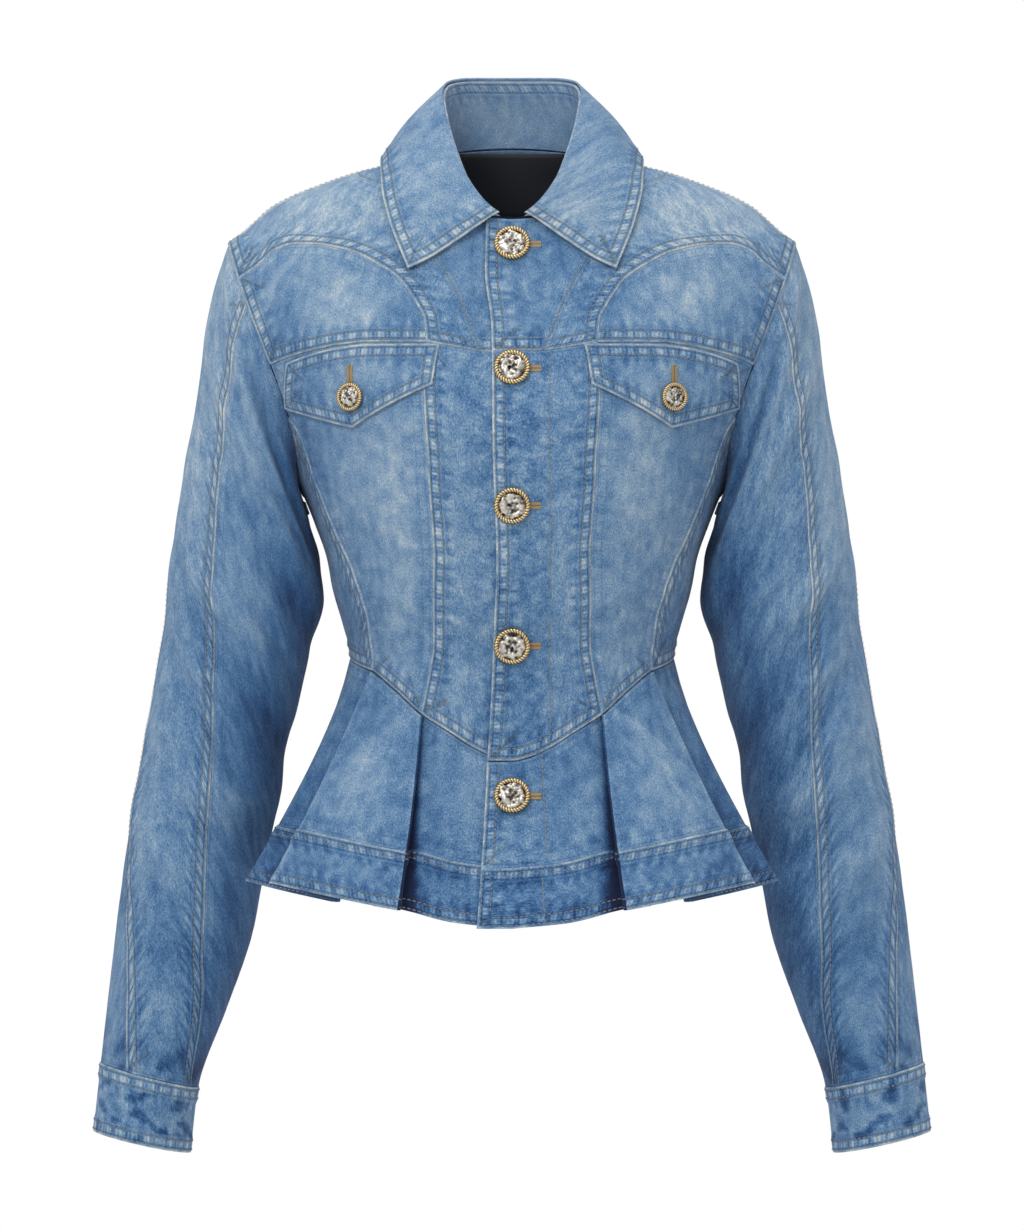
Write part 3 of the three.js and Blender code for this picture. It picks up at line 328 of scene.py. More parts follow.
def shell(name, outer, inner, attributes, closed=False):
    """Closed cloth between two grids."""
    rows, columns = outer.shape[:2]
    size = rows * columns
    faces = [grid_quads(rows, columns, 0, False, closed), grid_quads(rows, columns, size, True, closed)]
    loop = []
    if closed:
        j = np.arange(columns)
        k = (j + 1) % columns
        top = np.stack([j, k, k + size, j + size], -1)
        low = (rows - 1) * columns
        bottom = np.stack([low + k, low + j, low + j + size, low + k + size], -1)
        faces += [top, bottom]
    else:
        grid = np.arange(size).reshape(rows, columns)
        loop = np.concatenate([grid[0], grid[1:, -1], grid[-1, -2::-1], grid[-2:0:-1, 0]])
        after = np.roll(loop, -1)
        faces.append(np.stack([loop, after, after + size, loop + size], -1))
    faces = np.concatenate(faces)
    verts = np.concatenate([outer.reshape(-1, 3), inner.reshape(-1, 3)])
    a, b, c = verts[faces[:, 0]], verts[faces[:, 1]], verts[faces[:, 2]]
    d = verts[faces[:, 3]]
    volume = (a * np.cross(b, c)).sum() + (a * np.cross(c, d)).sum()
    if volume < 0:
        faces = faces[:, ::-1]
    doubled = {key: (kind, np.concatenate([np.ravel(v), np.ravel(v)])) for key, (kind, v) in attributes.items()}
    doubled["inside"] = ("FLOAT", np.concatenate([np.zeros(size), np.ones(size)]))
    return mesh_object(name, verts, faces.tolist(), doubled)


def cloth_sizes(points, closed=False):
    """Flat width, length and area of a grid, in metres."""
    ring = np.concatenate([points, points[:, :1]], 1) if closed else points
    du = np.linalg.norm(np.diff(ring, axis=1), axis=2)
    dv = np.linalg.norm(np.diff(ring, axis=0), axis=2)
    across = np.cross(ring[1:, 1:] - ring[:-1, :-1], ring[1:, :-1] - ring[:-1, 1:])
    area = np.linalg.norm(across, axis=2).sum() / 2
    width, length = du.sum(axis=1).max(), dv.sum(axis=0).max()
    width, length = min(width, 2.9 * area / length), min(length, 2.9 * area / width)
    return width * MM, length * MM, min(area, 0.999 * width * length) * MM * MM


stitch_lines = {}


def stitch(group, points, normals):
    stitch_lines.setdefault(group, []).append((np.asarray(points), np.asarray(normals)))


STITCH_ROWS = (2.0, 8.4)


def stitch_border(group, points, normals, side, distance, kinds):
    """A row of stitches at a distance from a border of a grid."""
    near, _ = borders(points)
    flip = side in ("top", "bottom")
    p = np.swapaxes(points, 0, 1) if flip else points
    n = np.swapaxes(normals, 0, 1) if flip else normals
    d = near[side].T if flip else near[side]
    crossing = ("left", "right") if flip else ("top", "bottom")
    others = [near[o].T if flip else near[o] for o in crossing if kinds.get(o, "under") in ("top", "edge")]
    if side in ("right", "bottom"):
        p, n, d = p[:, ::-1], n[:, ::-1], d[:, ::-1]
        others = [o[:, ::-1] for o in others]

    def clear(i):
        return all(np.interp(distance, d[i], o[i]) >= distance * 0.9 for o in others)

    rows = [i for i in range(len(p)) if d[i, -1] > 2 * distance and clear(i)]
    if len(rows) < 3:
        return
    line = np.array([[np.interp(distance, d[i], p[i, :, k]) for k in range(3)] for i in rows])
    nrm = np.array([[np.interp(distance, d[i], n[i, :, k]) for k in range(3)] for i in rows])
    stitch(group, line, unit(nrm))


def cloth_piece(name, nodes, points, normals, kinds, wash_and_painted_shading, thickness=CLOTH, closed=False, rows=None,
                group="front", held="hung", tone=0.0, upright=True):
    """Cloth shell on a grid, with seam bands, stitches, and its washed tone with painted shading."""
    seam, near, _ = nearest_seam(points, kinds)
    if name.startswith("neck_yoke"):
        level = (points[..., 2] < -114) & (np.abs(points[..., 0]) < 22)
        seam[..., 2] = np.where(level & (seam[..., 0] >= near["bottom"] - 0.01), 1.0, seam[..., 2])
    outer = points + normals * (raised(near, kinds) + 0 * seam[..., 0])[..., None]
    inner = points - normals * thickness
    _, way = borders(points)
    if upright:
        x, y, z = points[..., 0], points[..., 1], points[..., 2]
        flat = np.stack([x + np.tanh(x / 40) * (y + 110), -z, np.full(x.shape, tone * 100)], -1)
    else:
        flat = np.stack([way["top"], way["left"], np.full(seam.shape[:2], tone * 100)], -1)
    attributes = {
        "seam": ("FLOAT_VECTOR", seam),
        "flat": ("FLOAT_VECTOR", flat),
        "wash_and_painted_shading": ("FLOAT", wash_and_painted_shading),
    }
    piece = shell(name, outer, inner, attributes, closed)
    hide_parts(*nodes)
    piece.data.materials.append(denim)
    width, length, area = cloth_sizes(points, closed)
    for side, kind in kinds.items():
        if kind != "under":
            for distance in (rows or {}).get(side, STITCH_ROWS):
                stitch_border(group, outer, normals, side, distance, kinds)
    return piece


# Denim: colour and fine relief
def linear(*rgb):
    values = [c / 255 for c in rgb]
    return tuple(c / 12.92 if c <= 0.04045 else ((c + 0.055) / 1.055) ** 2.4 for c in values) + (1,)


DENIM_STOPS = [
    (0.0, linear(14, 28, 58)), (0.25, linear(34, 64, 104)), (0.44, linear(56, 93, 133)),
    (0.63, linear(92, 123, 154)), (0.81, linear(130, 151, 169)), (1.0, linear(176, 184, 186)),
]


class Maths:
    """Short names for a material's sums."""

    def __init__(self, tree):
        self.tree = tree

    def node(self, kind, **settings):
        node = self.tree.nodes.new(kind)
        for key, value in settings.items():
            setattr(node, key, value)
        return node

    def put(self, socket, value):
        if isinstance(value, bpy.types.NodeSocket):
            self.tree.links.new(value, socket)
        else:
            socket.default_value = value

    def sum(self, operation, a, b=0.0, clamp=False):
        node = self.node("ShaderNodeMath", operation=operation, use_clamp=clamp)
        self.put(node.inputs[0], a)
        self.put(node.inputs[1], b)
        return node.outputs[0]

    def add(self, a, b):
        return self.sum("ADD", a, b)

    def mul(self, a, b):
        return self.sum("MULTIPLY", a, b)

    def ramp(self, value, low, high):
        node = self.node("ShaderNodeMapRange", interpolation_type="SMOOTHSTEP")
        for i, v in enumerate((value, low, high, 0.0, 1.0)):
            self.put(node.inputs[i], v)
        return node.outputs[0]

    def bell(self, value, centre, width):
        return self.sum("SUBTRACT", 1.0, self.ramp(self.sum("ABSOLUTE", self.add(value, -centre)), 0.0, width))

    def attribute(self, name):
        node = self.node("ShaderNodeAttribute", attribute_name=name)
        return node

    def split(self, vector):
        node = self.node("ShaderNodeSeparateXYZ")
        self.tree.links.new(vector, node.inputs[0])
        return node.outputs

    def join(self, x, y, z=0.0):
        node = self.node("ShaderNodeCombineXYZ")
        for socket, value in zip(node.inputs, (x, y, z)):
            self.put(socket, value)
        return node.outputs[0]

    def noise(self, vector, scale, detail=2.0, rough=0.5):
        node = self.node("ShaderNodeTexNoise")
        self.put(node.inputs["Vector"], vector)
        self.put(node.inputs["Scale"], scale)
        self.put(node.inputs["Detail"], detail)
        self.put(node.inputs["Roughness"], rough)
        return self.add(node.outputs["Fac"], -0.5)


def make_denim():
    material = bpy.data.materials.new("washed_denim")
    material.use_nodes = True
    tree = material.node_tree
    m = Maths(tree)
    shader = tree.nodes["Principled BSDF"]
    flat = m.attribute("flat").outputs["Vector"]
    s, t, tone = m.split(flat)
    near, way, weight = m.split(m.attribute("seam").outputs["Vector"])
    # This tone carries the denim's fading together with painted shade and painted highlights
    wash_and_painted_shading = m.attribute("wash_and_painted_shading").outputs["Fac"]
    inside = m.attribute("inside").outputs["Fac"]
    offset = m.mul(tone, 3.7)
    clouds = m.noise(m.join(s, m.mul(t, 0.7), offset), 0.02, 3.0, 0.6)
    mottle = m.noise(m.join(s, m.mul(t, 0.8), offset), 0.1, 4.0, 0.62)
    streak = m.noise(m.join(s, m.mul(t, 0.14), offset), 0.8, 2.0, 0.6)
    grain = m.noise(m.join(s, m.mul(t, 0.6), offset), 1.15, 3.0, 0.8)
    band = m.sum("SUBTRACT", 1.0, m.ramp(near, 7.5, 11.0))
    wander = m.noise(m.join(m.mul(way, 0.09), m.mul(near, 0.03), offset), 1.0, 2.0)
    phase = m.add(m.mul(way, 0.62), m.mul(wander, 10.0))
    ripple = m.sum("SINE", phase)
    between = m.bell(near, 5.4, 4.6)
    outside = m.bell(near, 13.5, 6.5)
    puckers = m.mul(weight, m.add(m.mul(between, ripple), m.mul(outside, m.mul(ripple, 0.55))))
    fine = m.mul(m.sum("SINE", m.add(m.mul(way, 2.1), m.mul(wander, 7.0))), m.mul(between, weight))
    edge = m.mul(weight, m.sum("SUBTRACT", 1.0, m.ramp(near, 0.7, 2.0)))
    rows = m.add(m.bell(near, 2.5, 1.4), m.bell(near, 8.5, 1.5))
    value = m.add(wash_and_painted_shading, m.mul(clouds, 0.5))
    value = m.add(value, m.mul(mottle, 0.7))
    value = m.add(value, m.mul(streak, 0.16))
    value = m.add(value, m.mul(grain, 1.5))
    value = m.add(value, m.add(m.mul(puckers, 0.2), m.mul(fine, 0.11)))
    value = m.add(value, m.mul(m.mul(band, weight), 0.07))
    value = m.add(value, m.mul(edge, m.add(0.2, m.mul(wander, 0.8))))
    value = m.add(value, m.mul(m.mul(rows, weight), -0.27))
    # Painted shadow just beyond the raised seam band
    value = m.add(value, m.mul(m.mul(m.bell(near, 11.5, 2.6), weight), -0.1))
    value = m.add(m.mul(value, 0.75), 0.25)
    ramp = m.node("ShaderNodeValToRGB")
    stops = ramp.color_ramp.elements
    stops[0].position, stops[0].color = DENIM_STOPS[0]
    stops[1].position, stops[1].color = DENIM_STOPS[-1]
    for place, colour in DENIM_STOPS[1:-1]:
        stops.new(place).color = colour
    tree.links.new(value, ramp.inputs[0])
    back = m.node("ShaderNodeMix", data_type="RGBA")
    m.put(back.inputs["Factor"], m.mul(inside, 0.35))
    tree.links.new(ramp.outputs[0], back.inputs["A"])
    back.inputs["B"].default_value = linear(112, 142, 176)
    tree.links.new(back.outputs["Result"], shader.inputs["Base Color"])
    shader.inputs["Roughness"].default_value = 0.92
    shader.inputs["Specular IOR Level"].default_value = 0.18
    shader.inputs["Sheen Weight"].default_value = 0.08
    twill = m.sum("SINE", m.mul(m.add(s, m.mul(t, 1.3)), 4.2))
    relief = m.add(m.add(m.mul(puckers, 0.75), m.mul(fine, 0.25)), m.mul(m.mul(rows, weight), -0.55))
    relief = m.add(relief, m.add(m.mul(grain, 0.8), m.mul(twill, 0.05)))
    relief = m.add(relief, m.add(m.mul(mottle, 0.7), m.mul(clouds, 3.0)))
    bump = m.node("ShaderNodeBump")
    bump.inputs["Strength"].default_value = 0.75
    bump.inputs["Distance"].default_value = 1.0 * MM
    tree.links.new(relief, bump.inputs["Height"])
    tree.links.new(bump.outputs[0], shader.inputs["Normal"])
    return material


def plain_material(name, colour, rough, metal=0.0):
    material = bpy.data.materials.new(name)
    material.use_nodes = True
    shader = material.node_tree.nodes["Principled BSDF"]
    shader.inputs["Base Color"].default_value = colour
    shader.inputs["Roughness"].default_value = rough
    shader.inputs["Metallic"].default_value = metal
    return material


denim = make_denim()
grey_thread = plain_material("grey_thread", linear(104, 108, 104), 0.7)
gold_thread = plain_material("gold_thread", linear(142, 118, 76), 0.6)
label_cloth = plain_material("plain_black_label", linear(22, 24, 32), 0.75)


def aged_metal(name, hollow, raised_colour):
    """Metal that is dark in its hollows and bright on its high places."""
    material = plain_material(name, raised_colour, 0.34, 1.0)
    m = Maths(material.node_tree)
    mix = m.node("ShaderNodeMix", data_type="RGBA")
    m.put(mix.inputs["Factor"], m.attribute("height").outputs["Fac"])
    mix.inputs["A"].default_value = hollow
    mix.inputs["B"].default_value = raised_colour
    shader = material.node_tree.nodes["Principled BSDF"]
    material.node_tree.links.new(mix.outputs["Result"], shader.inputs["Base Color"])
    return material


gold_metal = aged_metal("gold_rope", linear(60, 46, 28), linear(214, 188, 140))
silver_metal = aged_metal("silver_dome", linear(60, 54, 48), linear(196, 192, 184))

# Pale and dark areas of the front as seen: [x, z, half width, half height, amount]. Some are the denim's faded wash.
# The pale shoulders are a painted highlight. The dark spots on the sides and waist where the body turns away, and in
# the skirt's pleat recesses, are painted shade
WASH_AND_PAINTED_SHADING_SPOTS = [
    [-130, -30, 60, 26, 0.26], [135, -30, 60, 26, 0.26], [-120, -92, 32, 22, 0.2], [124, -92, 32, 22, 0.2],
    [-112, -140, 40, 14, 0.04], [112, -140, 40, 14, 0.04],
    [10, -230, 14, 220, -0.12], [-24, -70, 16, 36, -0.06], [30, -90, 22, 40, -0.06],
    [-92, -215, 26, 46, 0.18], [92, -215, 26, 46, 0.16], [-78, -300, 14, 60, 0.12], [78, -300, 14, 60, 0.1],
    [-146, -240, 14, 70, -0.22], [146, -240, 14, 70, -0.22], [-118, -330, 12, 40, -0.14],
    [118, -330, 12, 40, -0.14], [-38, -250, 12, 90, 0.07], [40, -250, 12, 90, 0.05],
    [-110, -430, 26, 60, 0.1], [112, -430, 26, 60, 0.1], [-66, -500, 14, 60, -0.2],
    [68, -500, 14, 60, -0.2], [-150, -440, 20, 60, -0.12], [152, -440, 20, 60, -0.12],
    [0, -515, 260, 18, -0.05],
]


def blotches(x, z, size):
    """Soft uneven spots about as wide as size."""
    a, b = x * 5.4 / size, z * 5.4 / size
    one = np.sin(b + 1.6 * np.sin(a * 0.7 + 0.6 * b) + 0.9 * np.sin(0.37 * b))
    two = np.sin(0.8 * a - 0.53 * b + 1.9 * np.sin(0.61 * b + 1.0))
    return 0.5 * one + 0.5 * two


# Tone of the front: the denim's fading and blotches, together with the painted highlight and painted shade of the spots
# above
def wash_and_painted_shading_at(points):
    x, y, z = points[..., 0], points[..., 1], points[..., 2]
    front = np.where(y < 20, 1.0, 0.6)
    value = np.full(x.shape, 0.47)
    for cx, cz, rx, rz, amount in WASH_AND_PAINTED_SHADING_SPOTS:
        value += front * amount * np.exp(-((x - cx) / rx) ** 2 - ((z - cz) / rz) ** 2)
    front_band = (y < -40) & (x > -26) & (x < 27)
    value += np.where(front_band, 0.13 * blotches(x, z, 11), 0.05 * blotches(x, z, 26))
    value += np.where(z < -462, 0.09 * blotches(x, z, 13), 0)
    return value


# Folds pressed into the front by wear: [x, z, slant in degrees, length, width, height]
CREASES = [
    [-100, -60, 25, 40, 7, 1.2], [104, -60, -25, 40, 7, 1.2], [-40, -95, 60, 30, 6, 0.9],
    [40, -95, -60, 30, 6, 0.9], [-120, -215, 40, 34, 8, -1.3], [122, -212, -40, 34, 8, -1.3],
    [-80, -262, 8, 26, 6, -1.1], [82, -268, -8, 26, 6, -1.1], [-36, -270, 12, 26, 6, -1.0],
    [36, -262, -14, 26, 6, -1.0], [-84, -302, -12, 26, 6, 1.1], [80, -300, 14, 26, 6, 1.1],
    [-36, -318, 10, 24, 5, 0.9], [38, -312, -8, 24, 5, 0.9], [-112, -300, 30, 24, 6, -1.0],
    [112, -296, -30, 24, 6, -1.0], [-80, -345, 5, 22, 5, -0.9], [80, -345, -5, 22, 5, -0.9],
]


def crease_height(points):
    x, y, z = points[..., 0], points[..., 1], points[..., 2]
    total = np.zeros(x.shape)
    for cx, cz, slant, length, width, height in CREASES:
        lean = math.radians(slant)
        dx, dz = x - cx, z - cz
        on = dx * math.cos(lean) + dz * math.sin(lean)
        off = -dx * math.sin(lean) + dz * math.cos(lean)
        total += height * np.exp(-(on / length) ** 2 - (off / width) ** 2)
    return np.where(y < 0, total, 0)


# Seams of the front half, as the CAD part has them
upper_edge = Smooth([
    (-535, -24.6), (-490, -24), (-450, -21), (-412, -17), (-320, -12.5), (-276, -11), (-201, -13.5),
    (-114, -14.5), (-73, -19), (-36, -18)])
SLANTED = [
    (103, -7), (88, -17), (78, -29), (65, -46), (53, -64.4), (35, -98), (28.7, -115), (22, -130)]
CURVED = [
    (61, -119), (62, -108), (68, -95), (79, -80), (99, -67), (118, -59), (138, -55.5), (152, -55.5),
    (166, -60), (177, -70), (185, -82)]
LEVEL = [(60, -124), (100, -124), (120, -126), (140, -130), (167, -140)]
PRINCESS = [
    (60, -124), (62, -158), (60.5, -185), (58.6, -217), (57, -241), (55, -276), (55, -318),
    (58, -356), (63.5, -384)]
SIDE_FRONT = [
    (155, -176), (150, -186), (145.5, -197), (140.5, -212), (132, -236), (121, -262), (110, -287),
    (101, -315), (97.5, -340), (97, -354)]
waist_line = Smooth([
    (-24, -417), (0, -417), (10, -415), (26, -408), (45, -396), (63.5, -384), (80, -368.5),
    (97, -354), (113, -343)])


def front_edge(side, z):
    z = np.asarray(z, float)
    return upper_edge(z) if side > 0 else np.full(z.shape, -float(LAP_UNDER))


neck_front = Smooth([(0, -36), (0.12, -34.5), (0.26, -28), (0.44, -12), (0.8, 3), (1.2, 9), (1.571, 10.5)])


def neck_height(angle):
    cosine = np.cos(angle)
    return np.where(cosine >= 0, neck_front(np.arccos(cosine)), 10.5 + 11 * np.abs(cosine) ** 1.5)


def neck_line(start, end, count=60):
    angle = np.linspace(start, end, count + 1)
    return np.stack([angle, neck_height(angle)], 1)


curved_turn, level_turn, side_turn = (float(armhole_turn(z)) for z in (-77.5, -138, -175))
shoulder_turn = math.radians(1)


def arm_spot(turn):
    return armhole_line(turn, turn, 1)[0]


neck_side = np.array([SHOULDER_SEAM, float(neck_height(SHOULDER_SEAM))])
tip_spot = arm_spot(shoulder_turn)
shoulder_split = np.array([SHOULDER_SEAM, 2.2])
inner_shoulder = along([neck_side, shoulder_split])
outer_shoulder = along([
    shoulder_split, ((SHOULDER_SEAM + tip_spot[0]) / 2, -34), tip_spot])
slanted_line = along([shoulder_split, *spots_of(SLANTED[1:])])
yoke_corner = slanted_line[-1]
chest_corner = seen(60, -124)
curve_split = seen(68, -95)
arm_curved, arm_level, arm_side = (arm_spot(t) for t in (curved_turn, level_turn, side_turn))
curved_lower = along([chest_corner, seen(61.5, -109), curve_split])
curved_upper = along([curve_split, *spots_of(CURVED[3:-1]), arm_curved])
curved_line = joined(curved_lower, curved_upper)
level_line = along([chest_corner, *spots_of(LEVEL[1:-1]), arm_level])
princess_line = along(spots_of(PRINCESS))
side_front_line = along([arm_side, *spots_of(SIDE_FRONT[1:])])
side_waist = np.array([PI / 2, WAIST_BACK])


def waist_front(x):
    return seen(x, waist_line(x))


def lap_drop(side, x):
    return 0 * x if side > 0 else -LAP_DROP * (1 - step(22, 42, x))


def bodice_panel(name, node, lines, kinds, side=1, lift=0.0, drop=False, **more):
    spots = patch(*lines)
    points = skin(spots[..., 0], spots[..., 1])
    normals = skin_normal(spots[..., 0], spots[..., 1])
    flip = np.array([side, 1, 1])
    out = lift + (lap_drop(side, points[..., 0]) if drop else 0)
    points = points + normals * np.asarray(out)[..., None] * np.ones(points.shape)
    points, normals = points * flip, normals * flip
    points = points + normals * crease_height(points)[..., None]
    return cloth_piece(name, (node,), points, normals, kinds, wash_and_painted_shading_at(points), **more)


def front_edge_line(side, start, end):
    z = np.linspace(start, end, 81)
    return seen(front_edge(side, z), z)


def make_front(side, tag):
    upper = side > 0
    edge = {"left": "edge"} if upper else {}
    group = "front_" + tag
    edge_line = front_edge_line(side, -36, -130)
    edge_line[0, 1] = neck_height(edge_line[0, 0])
    edge_yoke = edge_line[-1]
    tone = 0.1 * side
    bodice_panel("neck_yoke_" + tag, "yoke_neck_" + tag, (
        neck_line(edge_line[0, 0], SHOULDER_SEAM),
        joined(straight(edge_yoke, yoke_corner), slanted_line[::-1]), edge_line, inner_shoulder,
    ), {**edge, "top": "under", "bottom": "line", "right": "under"}, side, 0, True, group=group, tone=tone + 0.02,
        rows={"bottom": (1.6,)})
    bodice_panel("shoulder_yoke_" + tag, "yoke_shoulder_" + tag, (
        joined(slanted_line[::-1], outer_shoulder), curved_line, straight(yoke_corner, chest_corner),
        armhole_line(shoulder_turn, curved_turn),
    ), {"top": "under", "bottom": "top", "left": "top", "right": "top"}, side, 0, True, group=group,
        tone=tone + 0.04)
    bodice_panel("chest_yoke_" + tag, "yoke_chest_" + tag, (
        curved_upper, level_line, curved_lower[::-1], armhole_line(curved_turn, level_turn),
    ), {"top": "under", "bottom": "top", "right": "top"}, side, group=group, tone=tone + 0.06)
    hem = waist_front(np.linspace(float(front_edge(side, -417)), 63.5, 61))
    bodice_panel("centre_front_" + tag, "front_centre_" + tag, (
        joined(straight(edge_yoke, yoke_corner), straight(yoke_corner, chest_corner)), hem,
        front_edge_line(side, -130, -417), princess_line,
    ), {**edge, "top": "under", "bottom": "top", "right": "top"}, side, 0, True, group=group, tone=tone + 0.08)
    bodice_panel("pocket_front_" + tag, "front_pocket_" + tag, (
        level_line, waist_front(np.linspace(63.5, 97, 41)), princess_line,
        joined(armhole_line(level_turn, side_turn), side_front_line),
    ), {"top": "under", "bottom": "top", "left": "under", "right": "under"}, side, group=group, tone=tone + 0.1)
    bodice_panel("side_front_" + tag, "front_side_" + tag, (
        armhole_line(side_turn, PI), straight(waist_front(97), side_waist), side_front_line,
        straight(arm_spot(PI), side_waist),
    ), {"top": "top", "bottom": "top", "left": "top", "right": "under"}, side, group=group, tone=tone + 0.12)
    flap_top = along(spots_of([(50.4, -126), (100, -126), (120, -128), (140, -132.5), (156, -138.5)]))
    corners = spots_of([(55.3, -153.9), (110.7, -183.6), (157, -170)])
    flap_hem = joined(straight(corners[0], corners[1]), straight(corners[1], corners[2]))
    bodice_panel("flap_" + tag, "pocket_flap_" + tag, (
        flap_top, flap_hem, straight(flap_top[0], flap_hem[0]), straight(flap_top[-1], flap_hem[-1]),
    ), {"bottom": "edge", "left": "edge", "right": "edge", "top": "edge"}, side, CLOTH + 0.9, group="flaps",
        tone=tone + 0.14, held="laid")


make_front(-1, "r")
make_front(1, "l")


# Back
def mirrored(line):
    return line[::-1] * [-1, 1] + [2 * PI, 0]


back_yoke_turn = -float(armhole_turn(-120))
back_side_turn = -side_turn
back_seam = along([
    arm_spot(back_side_turn), (PI - 0.98, -240), (PI - 0.86, -300), (PI - 0.85, WAIST_BACK)])


def make_back():
    corner = arm_spot(back_yoke_turn)
    yoke_hem = straight(corner, mirrored(corner[None])[0])
    yoke_side = joined(inner_shoulder, outer_shoulder, armhole_line(shoulder_turn, back_yoke_turn))
    bodice_panel("yoke_back", "back_yoke", (
        neck_line(SHOULDER_SEAM, 2 * PI - SHOULDER_SEAM), yoke_hem, yoke_side, mirrored(yoke_side)[::-1],
    ), {"top": "under", "bottom": "top", "left": "top", "right": "top"}, group="back", tone=0.3)
    side = joined(armhole_line(back_yoke_turn, back_side_turn), back_seam)
    bodice_panel("centre_back", "back_centre", (
        yoke_hem, straight(back_seam[-1], mirrored(back_seam[-1:])[0]), side, mirrored(side)[::-1],
    ), {"top": "under", "bottom": "top", "left": "top", "right": "top"}, group="back", tone=0.33)
    for sign, tag in ((1, "l"), (-1, "r")):
        bodice_panel("side_back_" + tag, "back_side_" + tag, (
            armhole_line(-PI, back_side_turn), straight(side_waist, back_seam[-1]),
            straight(arm_spot(PI), side_waist), back_seam,
        ), {"top": "top", "bottom": "top", "left": "under", "right": "under"}, sign, group="back", tone=0.36)


make_back()

# Sleeve rings. Rows: [ring, outer x, outer z, inner x, inner z, half depth, centre y]
sleeve_rows = np.array([
    [0, 202.4, -49.3, 153.3, -220, 58, 0], [1, 208.3, -66, 150.8, -232, 58.5, 0.5],
    [2, 215.5, -92, 143.2, -252, 58.5, 1], [3, 220.6, -126, 137, -276, 58, 2],
    [4, 226.5, -166, 134.6, -303, 57, 3], [5, 234.5, -212, 142.6, -335, 56, 5],
    [6, 242.8, -262, 151.2, -370, 54.5, 7], [7, 248.6, -316, 159.2, -409, 53, 9],
    [8, 257, -374, 168.5, -453, 51, 11], [9, 267.5, -434, 177.8, -500, 49, 13],
    [10, 278.5, -496, 187.4, -548, 46.5, 14], [11, 286.4, -560, 204.6, -597, 43, 15],
    [12, 295, -635.5, 225, -653.5, 40, 16], [13, 300.3, -684.5, 230.6, -700.3, 39.5, 16]])
outer_x, outer_z, inner_x, inner_z, ring_depth, ring_y = (
    Smooth(sleeve_rows[:, [0, k]]) for k in range(1, 7))
CUFF_RING, LAST_RING = 12, 13
CUFF_CLOTH = 2.6
RING_STEP, ARM_RADIUS = 46, 50

# Sleeve folds: [ring, turn in degrees, slant in degrees, length, width, height]. The first fourteen
# are the CAD part's, the rest are the small ones between them
SLEEVE_FOLDS = [
    [1.6, 62, 60, 60, 14, 4], [2.2, 105, 40, 70, 15, -4], [3.4, 75, 30, 60, 16, 3.5],
    [4.6, 118, 20, 55, 14, -4], [6.0, 70, -20, 55, 14, 4], [6.9, 120, 15, 60, 13, -4.5],
    [7.6, 60, 25, 50, 13, -3.5], [8.4, 110, -25, 55, 13, 4], [9.6, 60, 20, 50, 13, 3.5],
    [10.6, 100, -15, 45, 12, -3.5], [3.0, 250, 35, 65, 16, -4], [5.4, 285, -25, 60, 15, 4],
    [7.2, 240, 20, 60, 14, -4], [9.2, 280, -20, 55, 14, 3.5],
]
SMALL_FOLDS = [
    [0.9, 40, 70, 34, 6, 1.5], [1.8, 85, 55, 38, 7, -2], [2.9, 115, 45, 40, 7, 2], [3.9, 95, 30, 36, 7, -2],
    [4.3, 60, 20, 30, 6, 1.6], [5.3, 95, -20, 36, 7, 2], [5.7, 125, 25, 32, 7, -2], [6.4, 95, 12, 36, 6, -2],
    [7.1, 85, -18, 34, 6, 2], [7.9, 100, 20, 34, 6, -2], [8.9, 80, 10, 34, 6, -1.8], [9.3, 110, -22, 32, 6, 1.8],
    [10.1, 85, 14, 30, 6, -1.8], [10.9, 70, -10, 30, 6, 1.6], [11.3, 105, 10, 28, 5, 1.4],
    [6.2, 40, 20, 30, 7, -1.8], [8.2, 45, -15, 30, 7, 1.8], [10.4, 45, 12, 30, 7, -1.6],
]


def ring_point(ring, turn):
    scoop = np.where(np.sin(turn) >= 0, *ARMHOLE_SCOOP)
    fade = np.maximum(1 - ring / 3, 0)
    cut = fade * scoop * np.sin(turn) ** 2 * np.maximum(1 - np.cos(turn), 0) ** 1.5
    x = (outer_x(ring) + inner_x(ring)) / 2
    z = (outer_z(ring) + inner_z(ring)) / 2
    return np.stack([
        x + (outer_x(ring) - x) * np.cos(turn) - cut, ring_y(ring) - ring_depth(ring) * np.sin(turn),
        z + (outer_z(ring) - z) * np.cos(turn)], -1)


def sleeve_normal(ring, turn):
    e = 0.02
    around = ring_point(ring, turn + e) - ring_point(ring, turn - e)
    down = ring_point(ring + e, turn) - ring_point(np.maximum(ring - e, 0), turn)
    normal = unit(np.cross(around, down))
    centre = (ring_point(ring, turn) + ring_point(ring, turn + PI)) / 2
    away = ring_point(ring, turn) - centre
    return normal * np.sign((normal * away).sum(-1))[..., None]


def fold_height(ring, turn, folds):
    total = 0
    for row, degrees, slant, length, width, height in folds:
        centre, lean = math.radians(degrees), math.radians(slant)
        around = np.arctan2(np.sin(turn - centre), np.cos(turn - centre)) * ARM_RADIUS
        down = (ring - row) * RING_STEP
        on = around * math.cos(lean) + down * math.sin(lean)
        off = -around * math.sin(lean) + down * math.cos(lean)
        total = total + height * np.exp(-(on / length) ** 2 - (off / width) ** 2)
    return step(0, 1, ring) * (1 - step(11, 12, ring)) * total


front_seam_turn = Smooth([(0, 62), (2, 60), (4, 58), (6, 72), (8, 90), (10, 108), (11, 128), (12, 150)])
back_seam_turn = Smooth([(0, -62), (3, -45), (6, -22), (8, -4), (10, 22), (11, 45), (12, 66)])
SLEEVE_HEAD = 0.84


